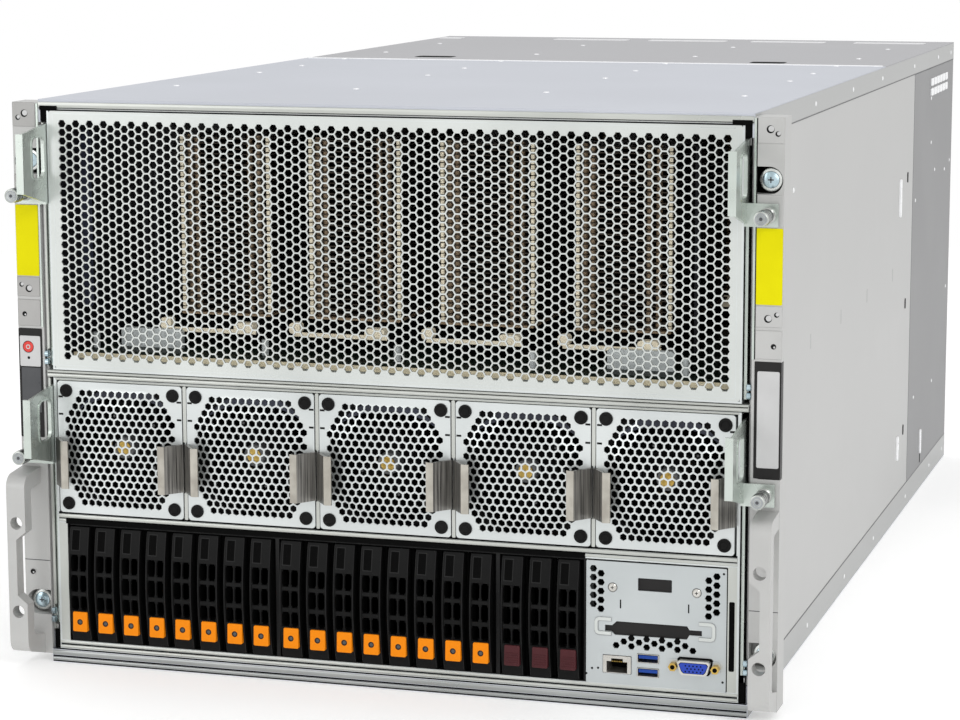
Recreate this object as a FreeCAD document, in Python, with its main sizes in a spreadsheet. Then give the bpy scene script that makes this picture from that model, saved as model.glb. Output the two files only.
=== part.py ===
import FreeCAD, Part
import math
import os
import re
import Sketcher

V = FreeCAD.Vector

# Driving sizes in millimetres (angles in degrees): name, value, what it measures
SIZES = (
    ("case_width", 447.5, "over the side walls"),
    ("case_height", 355.6, "eight rack units"),
    ("case_depth", 834.0, "from the front of the ears to the back of the case"),
    ("steel", 1.5, "sheet of the case"),
    ("wall_setback", 3.0, "front edge of the side walls behind the front of the ears"),
    ("floor_flange", 19.0, "side flange of the floor pan"),
    ("floor_lip", 8.5, "front lip of the floor pan, and the height of its runners"),
    ("runner_width", 14.0, "each runner under the lower tray"),
    ("seam_gap", 0.5, "open seam between two case sheets"),
    ("wall_overlap", 4.0, "how far a side wall reaches behind a flange"),
    ("cover_steel", 1.2, "sheet of the top covers"),
    ("cover_flange", 14.0, "side flange of the top covers"),
    ("cover_lip", 6.1, "front lip of the front cover"),
    ("cover_seam", 470.0, "seam between the two covers behind the front"),
    ("shelf_lip", 4.2, "front lip of the shelf between the trays"),
    ("slide_gap", 0.5, "clearance of a sliding tray"),
    ("lever_steel", 1.8, "plate of a lever"),
    ("lever_gap", 0.45, "clearance beside a lever"),
    ("pin_head", 0.9, "thickness of the pivot pin's head"),
    ("pin_radius", 3.0, "pivot pin of a lever"),
    ("pin_head_radius", 5.0, "head of the pivot pin"),
    ("pin_gap", 0.3, "clearance of a pin in its bore"),
    ("pivot_set", 8.0, "pivot pin behind the front of the ears"),
    ("tray_steel", 1.2, "sheet of both trays"),
    ("tray_lip", 5.5, "front lip of the lower tray"),
    ("tray_flange", 5.8, "front flange beside the drives"),
    ("gpu_tray_depth", 640.0, "upper tray"),
    ("system_tray_depth", 560.0, "lower tray"),
    ("door_gap", 0.9, "clearance over the door"),
    ("door_rim", 10.0, "depth of the door's folded rim"),
    ("grille_pitch", 16.0, "between the hexagons of the large grilles"),
    ("grille_bridge", 2.2, "metal between two hexagons"),
    ("grille_border", 6.0, "least plain border round the hexagons"),
    ("guard_pitch", 10.0, "between the hexagons of a fan guard"),
    ("guard_bridge", 1.4, "metal between two hexagons of a fan guard"),
    ("cage_steel", 1.2, "sheet of the drive and fan cages"),
    ("drive_width", 16.3, "drive carrier"),
    ("drive_height", 73.4, "drive carrier"),
    ("drive_depth", 112.0, "drive carrier behind the front of the ears"),
    ("drive_reach", 5.0, "carrier in front of the ears at its middle"),
    ("drive_gap", 0.5, "clearance over and under a carrier"),
    ("drive_spacing", 1.1, "between two carriers"),
    ("bank_gap", 2.25, "extra room between two banks of carriers"),
    ("bezel_depth", 14.0, "plastic front of a carrier"),
    ("bezel_curve", 150.0, "radius of the carrier's bowed front"),
    ("bezel_wall", 1.8, "bars round the openings of the carrier's front"),
    ("tab_height", 13.0, "release tab of a carrier"),
    ("tab_reach", 1.6, "release tab in front of the carrier"),
    ("drive_body", 14.8, "thickness of the drive in its carrier"),
    ("cage_depth", 116.0, "drive cage"),
    ("panel_width", 85.0, "port panel beside the drives"),
    ("panel_steel", 1.2, "port panel"),
    ("panel_return", 14.0, "side returns of the port panel"),
    ("port_gap", 0.25, "clearance round a port in the panel"),
    ("port_shell", 1.0, "wall of a port's shell"),
    ("network_left", 10.3, "network port on its panel"),
    ("network_low", 5.7, "network port above the panel's lower edge"),
    ("network_wide", 16.0, "network port"),
    ("network_high", 11.6, "network port"),
    ("network_deep", 18.0, "network port"),
    ("usb_left", 31.2, "two stacked serial ports on the panel"),
    ("usb_low", 4.8, "lower serial port above the panel's lower edge"),
    ("usb_rise", 8.8, "between the two serial ports"),
    ("usb_wide", 13.2, "serial port"),
    ("usb_high", 5.6, "serial port"),
    ("usb_deep", 16.0, "serial port"),
    ("video_left", 50.5, "video port on its panel"),
    ("video_low", 8.2, "video port above the panel's lower edge"),
    ("video_wide", 30.2, "video port"),
    ("video_high", 9.0, "video port"),
    ("video_deep", 12.0, "video port"),
    ("latch_left", 16.5, "long stepped slot on the panel"),
    ("latch_low", 30.0, "long slot above the panel's lower edge"),
    ("latch_wide", 45.5, "long slot"),
    ("latch_high", 7.8, "long slot"),
    ("latch_end", 4.0, "narrow end of the long slot"),
    ("latch_step", 2.5, "step of the long slot"),
    ("cover_left", 31.5, "upper window on the panel"),
    ("cover_low", 58.0, "upper window above the panel's lower edge"),
    ("cover_wide", 20.5, "upper window"),
    ("cover_high", 7.8, "upper window"),
    ("fan_lip", 7.0, "front lip under the fans"),
    ("fan_size", 83.4, "square frame of a fan module"),
    ("fan_gap", 0.4, "clearance over and under a fan module"),
    ("fan_side_gap", 0.5, "least clearance beside a fan module"),
    ("cage_side", 0.75, "side wall of the fan cage"),
    ("fan_depth", 76.0, "fan module"),
    ("fan_wall", 2.7, "thinnest wall of the fan frame"),
    ("guard_steel", 1.2, "fan guard"),
    ("plug_spacing", 71.5, "between the corner plugs of a fan"),
    ("plug_radius", 4.0, "corner plug of a fan"),
    ("divider", 1.0, "sheet between two fans"),
    ("clip_height", 30.0, "spring clip of a fan"),
    ("clip_reach", 14.0, "spring clip in front of the ears"),
    ("clip_lean", 11.0, "how far a clip leans over the guard"),
    ("clip_steel", 0.8, "sheet of a clip"),
    ("hub_radius", 17.0, "rotor hub"),
    ("rotor_depth", 30.0, "rotor along its shaft"),
    ("rotor_set", 14.0, "rotor behind the front of the ears"),
    ("rotor_gap", 1.2, "blade tips to the bore"),
    ("shaft_radius", 3.0, "rotor shaft"),
    ("blade_thickness", 1.4, "rotor blade"),
    ("blade_twist", 34.0, "turn of a blade from front to back at the hub, degrees"),
    ("blade_sweep", 20.0, "turn of the blade tip against its root, degrees"),
    ("ear_width", 17.55, "cast rack ear beside the case"),
    ("ear_depth", 19.0, "cast rack ear"),
    ("ear_bottom", 5.0, "lower end of the ears above the floor"),
    ("ear_top_gap", 1.9, "upper end of the ears below the top"),
    ("grip_reach", 24.0, "carrying grip in front of the ears"),
    ("grip_bar", 9.0, "bar of the carrying grip"),
    ("grip_width", 12.5, "width of the carrying grip"),
    ("grip_slope", 2.5, "fall of the grip's upper end towards its front"),
    ("grip_heel", 7.0, "rise of the grip's lower end towards its front"),
    ("grip_clear", 2.5, "grip below the foot of the lever"),
    ("grip_round", 8.0, "outer rounded corners of the grip"),
    ("grip_inner_round", 3.0, "rounded corners inside the grip"),
    ("grip_waist", 6.0, "width of the grip between its two holes"),
    ("grip_hole", 4.0, "radius of the holes in the grip"),
    ("grip_hole_inset", 32.0, "holes of the grip from its ends"),
    ("screw_inset", 8.75, "rack screws from the outer edge of the ears"),
    ("screw_set", 38.1, "rack screws from the top and the underside of the case"),
    ("screw_radius", 2.5, "thread of a rack screw"),
    ("screw_neck", 2.0, "radius of a rack screw's neck in the ear"),
    ("screw_play", 1.0, "how far a rack screw can be drawn back in its ear"),
    ("screw_head", 6.8, "radius of a rack screw's head"),
    ("screw_head_depth", 5.0, "rack screw's head"),
    ("screw_reach", 14.0, "rack screw behind the ear"),
    ("screw_recess", 12.0, "recess of a rack screw in the ear"),
    ("screw_clear", 1.2, "clearance round a rack screw's head"),
    ("control_height", 68.8, "black panel on the ear"),
    ("control_width", 13.0, "black panel on the ear"),
    ("control_depth", 6.0, "black panel on the ear"),
    ("control_gap", 0.15, "clearance of the panel in its recess"),
    ("button_radius", 3.6, "power button"),
    ("button_length", 3.4, "power button"),
    ("button_proud", 0.6, "power button in front of its panel"),
    ("button_travel", 1.2, "power button"),
    ("button_gap", 0.3, "clearance of the power button"),
    ("button_drop", 11.5, "power button below the top of its panel"),
    ("lever_top_gap", 7.5, "upper end of the upper levers below their bay"),
    ("lever_low_gap", 4.5, "upper end of the lower levers below their bay"),
    ("upper_pivot", 7.2, "upper levers' pivot above the tray"),
    ("lower_pivot", 21.0, "lower levers' pivot above the tray"),
    ("lever_arm", 10.0, "width of a lever's arm"),
    ("lever_grip", 50.0, "height of a lever's grip plate"),
    ("lever_reach", 33.0, "lever in front of the ears"),
    ("lever_hem", 3.0, "folded front edge of a lever"),
    ("lever_slope", 4.5, "fall of a lever's top edge towards its front"),
    ("lever_chamfer", 9.0, "sloped lower edge of a lever's grip plate"),
    ("window_height", 25.0, "slot in a lever's grip plate"),
    ("window_width", 16.0, "slot in a lever's grip plate"),
    ("window_round", 4.5, "rounded corners of a lever's slot"),
    ("window_set", 12.6, "middle of a lever's slot in front of the ears"),
    ("window_rise", 29.5, "middle of a lever's slot above its foot"),
    ("foot_width", 20.0, "foot of a lever over the ear"),
    ("foot_height", 13.5, "foot of a lever"),
    ("foot_set", 1.0, "foot of a lever in front of the ear"),
    ("thumb_radius", 4.3, "head of a thumbscrew"),
    ("thumb_head", 10.0, "head of a thumbscrew"),
    ("thumb_sleeve", 3.7, "radius of a thumbscrew's sleeve"),
    ("thumb_stand", 10.0, "length of a thumbscrew's sleeve"),
    ("board", 2.0, "circuit boards"),
    ("standoff", 7.0, "height of a board's standoffs"),
    ("standoff_radius", 3.0, "standoff"),
    ("sink_pitch", 86.5, "between accelerator coolers"),
    ("sink_width", 60.0, "accelerator cooler"),
    ("sink_length", 160.0, "accelerator cooler"),
    ("sink_base", 16.0, "accelerator module and its cold plate"),
    ("sink_front", 70.0, "first coolers behind the front of the ears"),
    ("sink_rows", 200.0, "between the two rows of coolers"),
    ("sink_headroom", 20.0, "coolers below the top of the tray"),
    ("fin", 1.2, "fin of a cooler"),
    ("fin_pitch", 4.2, "between two fins"),
    ("cooler_width", 80.0, "processor cooler"),
    ("cooler_height", 60.0, "processor cooler"),
    ("supply_width", 73.5, "power supply"),
    ("supply_height", 40.0, "power supply"),
    ("supply_depth", 220.0, "power supply"),
    ("supply_pitch", 79.0, "between power supplies"),
    ("supply_gap", 0.5, "clearance of a power supply"),
    ("supply_grip_reach", 24.0, "grip of a power supply behind the case"),
    ("supply_grip_height", 30.0, "grip of a power supply"),
    ("supply_grip_bar", 4.0, "bar of a power supply's grip"),
    ("inlet_width", 24.0, "power inlet"),
    ("inlet_height", 20.0, "power inlet"),
    ("inlet_depth", 18.0, "power inlet"),
)

# Heights and widths that follow from the driving sizes
FRONT = "((lever_reach - case_depth - supply_grip_reach)/2)"
HALF = "(case_width/2)"
INNER = "(case_width/2 - steel)"
TRAY = "(case_width/2 - steel - lever_steel - pin_head - 3*lever_gap)"
TRAY_IN = f"({TRAY} - tray_steel)"
EAR = "(case_width/2 + ear_width)"
SCREW = f"({EAR} - screw_inset)"
SCREW_HIGH = "(case_height - screw_set)"
SYSTEM_LOW = "(floor_lip + slide_gap)"
CAGE_FLOOR = f"({SYSTEM_LOW} + tray_lip)"
DRIVE_LOW = f"({CAGE_FLOOR} + drive_gap)"
CAGE_TOP = f"({DRIVE_LOW} + drive_height + drive_gap + cage_steel)"
FAN_FLOOR = f"({CAGE_TOP} + fan_lip)"
FAN_MIDDLE = f"({FAN_FLOOR} + fan_gap + fan_size/2)"
SYSTEM_TOP = f"({FAN_FLOOR} + 2*fan_gap + fan_size + cage_steel)"
SHELF_TOP = f"({SYSTEM_TOP} + slide_gap + shelf_lip)"
GPU_LOW = f"({SHELF_TOP} + slide_gap)"
GPU_TOP = "(case_height - cover_lip - door_gap)"
DOOR_LOW = f"({GPU_LOW} + tray_steel)"
FAN_ROW = f"(2*{TRAY_IN} - 2*cage_side + divider)"
DRIVE_PITCH = "(drive_width + drive_spacing)"
PANEL_RIGHT = f"({TRAY_IN} - tray_flange - drive_gap)"
PANEL_LEFT = f"({PANEL_RIGHT} - panel_width)"
CAGE_LEFT = f"(-{TRAY_IN} + tray_flange)"
CAGE_RIGHT = f"({PANEL_LEFT} - drive_gap - cage_steel)"
LOWER_FOOT = f"({SYSTEM_TOP} - lever_low_gap - lever_grip)"
GRIP_TOP = f"({LOWER_FOOT} - grip_clear)"
CONTROL_LOW = f"({LOWER_FOOT} + foot_height + grip_clear)"
CONTROL_MIDDLE = f"({EAR} - control_gap - control_width/2)"
BUTTON_HEIGHT = f"({CONTROL_LOW} + control_height - button_drop)"
LID_UNDER = "(case_height - cover_steel)"
BANK = 8
BLADES = 7
BLADE_SHARE = 0.8
SAME = 0.01

doc = FreeCAD.newDocument("rack_server")
sheet = doc.addObject("Spreadsheet::Sheet", "Sizes")
NAMES = {name for name, value, meaning in SIZES}
parts = []


def fill_sheet():
    """Write every driving size into the sheet under its own alias."""
    for row, (name, value, meaning) in enumerate(SIZES, start=1):
        sheet.set(f"A{row}", name)
        sheet.set(f"B{row}", str(value))
        sheet.set(f"C{row}", meaning)
        sheet.setAlias(f"B{row}", name)
    doc.recompute()


def formula(text):
    """Point every size name in a formula at its cell."""
    def cell(found):
        word = found.group()
        return "Sizes." + word if word in NAMES else word
    return re.sub(r"[a-z][a-z_]+", cell, str(text))


def number(text):
    """The value of a formula now, for shapes that are worked out point by point."""
    return float(sheet.evalExpression(formula(text)))


def bind(thing, **formulas):
    for prop, text in formulas.items():
        thing.setExpression(prop, formula(text))
    return thing


def place(thing, x="0", y="0", z="0"):
    for axis, text in (("x", x), ("y", y), ("z", z)):
        thing.setExpression("Placement.Base." + axis, formula(text))
    return thing


def sub_part(thing, name):
    """Name a finished piece and set its front face at the front of the ears."""
    thing.Label = name
    place(thing, y=FRONT)
    parts.append(thing)
    return thing


def block(name, x, y, z, wide, deep, high):
    box = doc.addObject("Part::Box", name)
    bind(box, Length=wide, Width=deep, Height=high)
    return place(box, x, y, z)


TURNS = {
    "x": FreeCAD.Rotation(V(0, 1, 0), 90),
    "y": FreeCAD.Rotation(V(1, 0, 0), -90),
    "z": FreeCAD.Rotation(),
}


def rod(name, axis, x, y, z, radius, length):
    """A round bar whose end face is centred at x, y, z and that runs along axis."""
    bar = doc.addObject("Part::Cylinder", name)
    bar.Placement = FreeCAD.Placement(V(), TURNS[axis])
    bind(bar, Radius=radius, Height=length)
    return place(bar, x, y, z)


def fuse(name, pieces):
    whole = doc.addObject("Part::MultiFuse", name)
    whole.Shapes = pieces
    return whole


def cut(name, base, tools):
    rest = doc.addObject("Part::Cut", name)
    rest.Base = base
    rest.Tool = tools[0] if len(tools) == 1 else fuse(name + "_tools", tools)
    return rest


def group(name, pieces):
    together = doc.addObject("Part::Compound", name)
    together.Links = pieces
    return together


def new_body(name):
    return doc.addObject("PartDesign::Body", name)


def sketch_on(body, name, plane, loops=(), circles=()):
    """A sketch on one of the body's planes, every corner tied to a formula."""
    sketch = body.newObject("Sketcher::SketchObject", name)
    origin_plane = [item for item in body.Origin.OriginFeatures if item.Role == plane][0]
    sketch.AttachmentSupport = (origin_plane, [""])
    sketch.MapMode = "FlatFace"
    for loop in loops:
        add_loop(sketch, loop)
    for across, up, radius in circles:
        add_circle(sketch, across, up, radius)
    return sketch


def tie_point(sketch, line, end, across, up):
    for kind, text in (("DistanceX", across), ("DistanceY", up)):
        index = sketch.addConstraint(Sketcher.Constraint(kind, line, end, number(text)))
        sketch.setExpression(f"Constraints[{index}]", formula(text))


def add_loop(sketch, corners):
    points = [V(number(across), number(up), 0) for across, up in corners]
    first = sketch.GeometryCount
    for here, there in zip(points, points[1:] + points[:1]):
        sketch.addGeometry(Part.LineSegment(here, there), False)
    for step, (across, up) in enumerate(corners):
        following = first + (step + 1) % len(corners)
        sketch.addConstraint(Sketcher.Constraint("Coincident", first + step, 2, following, 1))
        tie_point(sketch, first + step, 1, across, up)


def add_circle(sketch, across, up, radius):
    centre = V(number(across), number(up), 0)
    ring = sketch.addGeometry(Part.Circle(centre, V(0, 0, 1), number(radius)), False)
    index = sketch.addConstraint(Sketcher.Constraint("Radius", ring, number(radius)))
    sketch.setExpression(f"Constraints[{index}]", formula(radius))
    tie_point(sketch, ring, 3, across, up)


def rectangle(left, low, right, high):
    return [(left, low), (right, low), (right, high), (left, high)]


def pad(body, name, sketch, length, backwards=False):
    """Thicken a sketch along its plane's normal, or against it."""
    feature = body.newObject("PartDesign::Pad", name)
    feature.Profile = sketch
    feature.Reversed = backwards
    bind(feature, Length=length)
    return feature


def pocket(body, name, sketch, length, backwards=False):
    feature = body.newObject("PartDesign::Pocket", name)
    feature.Profile = sketch
    feature.Reversed = backwards
    bind(feature, Length=length)
    return feature


def run_back(name, loops, start, length, circles=()):
    """A body of constant front view, from start to start + length behind the ears."""
    body = new_body(name)
    sketch = sketch_on(body, name + "_front_view", "XZ_Plane", loops, circles)
    sketch.setExpression("AttachmentOffset.Base.z", formula(f"-({start})"))
    pad(body, name + "_run", sketch, length, backwards=True)
    return body


def run_across(name, loops, start, length, circles=()):
    """A body of constant side view, from start to start + length along x."""
    body = new_body(name)
    sketch = sketch_on(body, name + "_side_view", "YZ_Plane", loops, circles)
    sketch.setExpression("AttachmentOffset.Base.z", formula(start))
    pad(body, name + "_run", sketch, length)
    return body


def round_edges(body, name, radius, wanted):
    """Round those straight edges of the body so far whose two ends are wanted."""
    base = body.Tip
    doc.recompute([base])
    edges = [f"Edge{index}" for index, edge in enumerate(base.Shape.Edges, start=1)
             if len(edge.Vertexes) == 2 and wanted(*(vertex.Point for vertex in edge.Vertexes))]
    feature = body.newObject("PartDesign::Fillet", name)
    feature.Base = (base, edges)
    return bind(feature, Radius=radius)


def span(side, inner, outer):
    """Left end and length of a stretch on one side of the middle."""
    return (inner if side > 0 else f"-({outer})"), f"(({outer}) - ({inner}))"


def hexagon(across, up, radius, turn):
    angles = [math.radians(60 * corner + turn) for corner in range(6)]
    return [V(across + radius * math.cos(a), 0, up + radius * math.sin(a)) for a in angles]


def ring_face(outer, inner):
    return Part.Face([Part.makePolygon(outer + outer[:1]), Part.makePolygon(inner[::-1] + inner[-1:])])


def wall_faces(loop, depth):
    return [Part.Face(Part.makePolygon([a, b, b + depth, a + depth, a]))
            for a, b in zip(loop, loop[1:] + loop[:1])]


def field_edge(cells):
    """The zigzag outline round a field of hexagonal cells."""
    def key(point):
        return (round(point.x, 3), round(point.z, 3))
    used = {}
    for cell in cells:
        for a, b in zip(cell, cell[1:] + cell[:1]):
            used.setdefault(frozenset((key(a), key(b))), []).append((a, b))
    following = {key(edges[0][0]): edges[0] for edges in used.values() if len(edges) == 1}
    start = next(iter(following))
    loop = [following[start][0]]
    here = key(following[start][1])
    while here != start:
        loop.append(following[here][0])
        here = key(following[here][1])
    return loop


def honeycomb(outline, centres, pitch, bridge, thickness, turn):
    """A plate with hexagonal openings: rings and walls sewn into one solid."""
    depth = V(0, thickness, 0)
    cells = [hexagon(across, up, pitch / math.sqrt(3), turn) for across, up in centres]
    holes = [hexagon(across, up, (pitch - bridge) / math.sqrt(3), turn) for across, up in centres]
    edge = field_edge(cells)
    faces = wall_faces(outline, depth)
    for shift in (V(), depth):
        for cell, hole in zip(cells, holes):
            faces.append(ring_face([p + shift for p in cell], [p + shift for p in hole]))
        loops = [Part.makePolygon([p + shift for p in loop + loop[:1]]) for loop in (outline, edge)]
        faces.append(Part.makeFace(loops, "Part::FaceMakerBullseye"))
    for hole in holes:
        faces.extend(wall_faces(hole, depth))
    skin = Part.makeCompound(faces)
    skin.sewShape()
    solid = Part.Solid(skin.Shells[0])
    if solid.Volume < 0:
        solid.reverse()
    return solid


def fixed_shape(name, shape):
    feature = doc.addObject("Part::Feature", name)
    feature.Shape = shape
    return feature


def grille_plate(name, left, low, right, high, thickness):
    """A rectangular plate filled with upright columns of hexagons."""
    x0, z0, x1, z1 = (number(text) for text in (left, low, right, high))
    pitch = number("grille_pitch")
    border = number("grille_border") + pitch / math.sqrt(3)
    column = pitch * math.sqrt(3) / 2
    columns = int((x1 - x0 - 2 * border) / column) + 1
    rows = int((z1 - z0 - 2 * border - pitch / 2) / pitch) + 1
    first_x = (x0 + x1 - (columns - 1) * column) / 2
    first_z = (z0 + z1 - (rows - 0.5) * pitch) / 2
    centres = [(first_x + c * column, first_z + (r + 0.5 * (c % 2)) * pitch)
               for c in range(columns) for r in range(rows)]
    outline = [V(x0, 0, z0), V(x1, 0, z0), V(x1, 0, z1), V(x0, 0, z1)]
    shape = honeycomb(outline, centres, pitch, number("grille_bridge"), number(thickness), 0)
    return fixed_shape(name, shape)


def floor_pan():
    half, rise = HALF, "floor_flange"
    view = [(f"-{half}", "0"), (half, "0"), (half, rise), (f"{half} - steel", rise),
            (f"{half} - steel", "steel"), (f"-{half} + steel", "steel"),
            (f"-{half} + steel", rise), (f"-{half}", rise)]
    body = run_back("floor_pan", [view], "wall_setback", "case_depth - wall_setback")
    lip = sketch_on(body, "floor_lip_view", "XZ_Plane",
                    [rectangle(f"-{half}", "0", half, "floor_lip")])
    pad(body, "floor_front_lip", lip, "wall_setback", backwards=True)
    runners = []
    for side in (-1, 1):
        outer = f"{side}*({TRAY} - tray_steel)"
        inner = f"{side}*({TRAY} - tray_steel - runner_width)"
        runners.append(rectangle(inner, "0", outer, "floor_lip"))
    rails = sketch_on(body, "floor_runner_view", "XZ_Plane", runners)
    pad(body, "floor_runners", rails, "system_tray_depth", backwards=True)
    sub_part(body, "chassis_floor")


def side_wall(side, name):
    """Flat wall between the flanges of floor and cover, with a strip behind each flange."""
    low = "(floor_flange + seam_gap)"
    high = "(case_height - cover_flange - seam_gap)"
    length = "case_depth - wall_setback - steel"
    left, wide = span(side, INNER, HALF)
    pieces = [block(name + "_plate", left, "wall_setback", low, wide, length, f"{high} - {low}")]
    left, wide = span(side, f"{INNER} - steel", INNER)
    for tag, bottom, top in (("low", "steel", f"({low} + wall_overlap)"),
                             ("high", f"({high} - wall_overlap)", LID_UNDER)):
        pieces.append(block(f"{name}_{tag}_strip", left, "wall_setback", bottom, wide, length,
                            f"{top} - {bottom}"))
    sub_part(group(name + "_set", pieces), name)


def cover(name, start, length, lip):
    half, low = HALF, "(case_height - cover_flange)"
    inner = f"({half} - cover_steel)"
    view = [(f"-{half}", low), (f"-{half}", "case_height"), (half, "case_height"), (half, low),
            (inner, low), (inner, LID_UNDER), (f"-{inner}", LID_UNDER), (f"-{inner}", low)]
    body = run_back(name, [view], start, length)
    if lip:
        front = rectangle(f"-{half}", "case_height - cover_lip", half, "case_height")
        pad(body, name + "_lip", sketch_on(body, name + "_lip_view", "XZ_Plane", [front]),
            "wall_setback", backwards=True)
    sub_part(body, name)


def tray_shelf():
    back = "case_depth - steel"
    top, under = SHELF_TOP, f"({SHELF_TOP} - steel)"
    view = [("0", f"{top} - shelf_lip"), ("0", top), (back, top), (back, under), ("steel", under),
            ("steel", f"{top} - shelf_lip")]
    sub_part(run_across("tray_shelf", [view], f"-{INNER}", f"2*{INNER}"), "tray_shelf")


def supply_centres():
    count = int(number(f"2*{INNER}/supply_pitch"))
    count = min(count, 4)
    return [f"({place_in_row - (count - 1) / 2}*supply_pitch)" for place_in_row in range(count)]


def back_panel():
    """The lower back, with an opening for each power supply."""
    openings = []
    for centre in supply_centres():
        openings.append(rectangle(f"{centre} - supply_width/2 - supply_gap", "steel + slide_gap",
                                  f"{centre} + supply_width/2 + supply_gap",
                                  "steel + slide_gap + supply_height + 2*supply_gap"))
    frame = rectangle(f"-{INNER}", "steel", INNER, SHELF_TOP)
    body = run_back("back_panel", [frame] + openings, "case_depth - steel", "steel")
    sub_part(body, "rear_panel")


def back_grille():
    plate = grille_plate("back_grille", f"-{INNER}", SHELF_TOP, INNER, LID_UNDER, "steel")
    plate.Label = "rear_grille"
    place(plate, y=f"{FRONT} + case_depth - steel")
    parts.append(plate)


def rack_ear(side, name):
    """Cast ear with its carrying grip, screw recesses and the seat of a front panel."""
    left, wide = span(side, HALF, EAR)
    bar = block(name + "_bar", left, "0", "ear_bottom", wide, "ear_depth",
                "case_height - ear_top_gap - ear_bottom")
    whole = fuse(name + "_cast", [bar, carrying_grip(side, name)])
    tools = []
    for level, height in (("low", "screw_set"), ("high", SCREW_HIGH)):
        across = f"{side}*{SCREW}"
        hollow = "(screw_head + screw_clear)"
        tools.append(rod(f"{name}_{level}_recess", "y", across, "0", height, hollow, "screw_recess"))
        inner, reach = span(side, HALF, SCREW)
        tools.append(block(f"{name}_{level}_mouth", inner, "0", f"{height} - {hollow}", reach,
                           "screw_recess", f"2*{hollow}"))
        tools.append(rod(f"{name}_{level}_bore", "y", across, "0", height,
                         "screw_radius + pin_gap", "ear_depth"))
    seat_left, seat_wide = span(side, f"{CONTROL_MIDDLE} - control_width/2 - control_gap",
                                f"{CONTROL_MIDDLE} + control_width/2 + control_gap")
    tools.append(block(name + "_panel_seat", seat_left, "0", f"{CONTROL_LOW} - control_gap",
                       seat_wide, "control_depth", "control_height + 2*control_gap"))
    sub_part(cut(name + "_machined", whole, tools), name)


def carrying_grip(side, name):
    """A bow in front of the ear, with room for the fingers behind it, waisted between two holes."""
    top, low = GRIP_TOP, "ear_bottom"
    inside = "(-grip_reach + grip_bar)"
    bow = [("0", low), ("-grip_reach", f"{low} + grip_heel"), ("-grip_reach", f"{top} - grip_slope"),
           ("0", top), ("0", f"{top} - grip_bar - grip_slope/2"),
           (inside, f"{top} - grip_bar - grip_slope"), (inside, f"{low} + grip_bar + grip_heel"),
           ("0", f"{low} + grip_bar + grip_heel/2")]
    edge = f"({EAR} - control_gap)"
    left, wide = span(side, f"{edge} - grip_width", edge)
    body = run_across(name + "_grip", [bow], left, wide)
    back, floor = number(inside), number(f"{low} + grip_bar")
    def in_gap(end):
        return abs(end.y - back) < SAME and end.z > floor
    round_edges(body, name + "_grip_rounds", "grip_round",
                lambda a, b: a.y < -SAME and b.y < -SAME and abs(a.x - b.x) > SAME and not in_gap(a))
    round_edges(body, name + "_grip_inner_rounds", "grip_inner_round",
                lambda a, b: in_gap(a) and in_gap(b) and abs(a.x - b.x) > SAME)
    holes = []
    hole_low, hole_high = f"({low} + grip_hole_inset)", f"({top} - grip_hole_inset)"
    for height in (hole_low, hole_high):
        holes.append((f"{side}*({edge} - grip_width/2)", height, "grip_hole"))
    inner = f"{side}*({edge} - grip_width - steel)"
    neck = f"{side}*({edge} - grip_waist)"
    shoulder = "(grip_width - grip_waist)"
    waist = [(inner, f"{hole_low} + grip_hole"), (neck, f"{hole_low} + grip_hole + {shoulder}"),
             (neck, f"{hole_high} - grip_hole - {shoulder}"), (inner, f"{hole_high} - grip_hole")]
    view = sketch_on(body, name + "_grip_cut", "XZ_Plane", [waist], holes)
    pocket(body, name + "_grip_waist", view, "grip_reach", backwards=True)
    return body


def control_panel():
    """Black panel on the left ear, with the bore of the power button."""
    left, wide = span(-1, f"{CONTROL_MIDDLE} - control_width/2", f"{CONTROL_MIDDLE} + control_width/2")
    plate = block("control_plate", left, "0", CONTROL_LOW, wide, "control_depth", "control_height")
    bore = rod("control_bore", "y", f"-{CONTROL_MIDDLE}", "0", BUTTON_HEIGHT,
               "button_radius + button_gap", "button_length - button_proud + button_travel + button_gap")
    sub_part(cut("control_bored", plate, [bore]), "control_panel")
    button = rod("button_disc", "y", f"-{CONTROL_MIDDLE}", f"{FRONT} - button_proud", BUTTON_HEIGHT,
                 "button_radius", "button_length")
    button.Label = "power_button"
    parts.append(button)


def rack_screws():
    screws = []
    for side in (-1, 1):
        for level, height in (("low", "screw_set"), ("high", SCREW_HIGH)):
            name = f"rack_screw_{level}_{'right' if side > 0 else 'left'}"
            across = f"{side}*{SCREW}"
            head = rod(name + "_head", "y", across, "screw_recess - screw_head_depth", height,
                       "screw_head", "screw_head_depth")
            neck = rod(name + "_neck", "y", across, "screw_recess", height, "screw_neck",
                       "ear_depth - screw_recess + screw_play")
            thread = rod(name + "_thread", "y", across, "ear_depth + screw_play", height, "screw_radius",
                         "screw_reach - screw_play")
            screws.append(fuse(name, [head, neck, thread]))
    sub_part(group("rack_screw_set", screws), "rack_screws")


def pivot_pins(name, height):
    """A headed pin on each side of a tray, on which its levers turn."""
    pins = []
    for side in (-1, 1):
        tag = f"{name}_{'right' if side > 0 else 'left'}"
        start = f"({TRAY} - tray_steel)"
        stem = f"(tray_steel + 2*lever_gap + lever_steel)"
        left, wide = span(side, start, f"{start} + {stem}")
        pins.append(rod(tag + "_stem", "x", left, "pivot_set", height, "pin_radius", wide))
        left, wide = span(side, f"{start} + {stem}", f"{start} + {stem} + pin_head")
        pins.append(rod(tag + "_head", "x", left, "pivot_set", height, "pin_head_radius", wide))
    return pins


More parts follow.
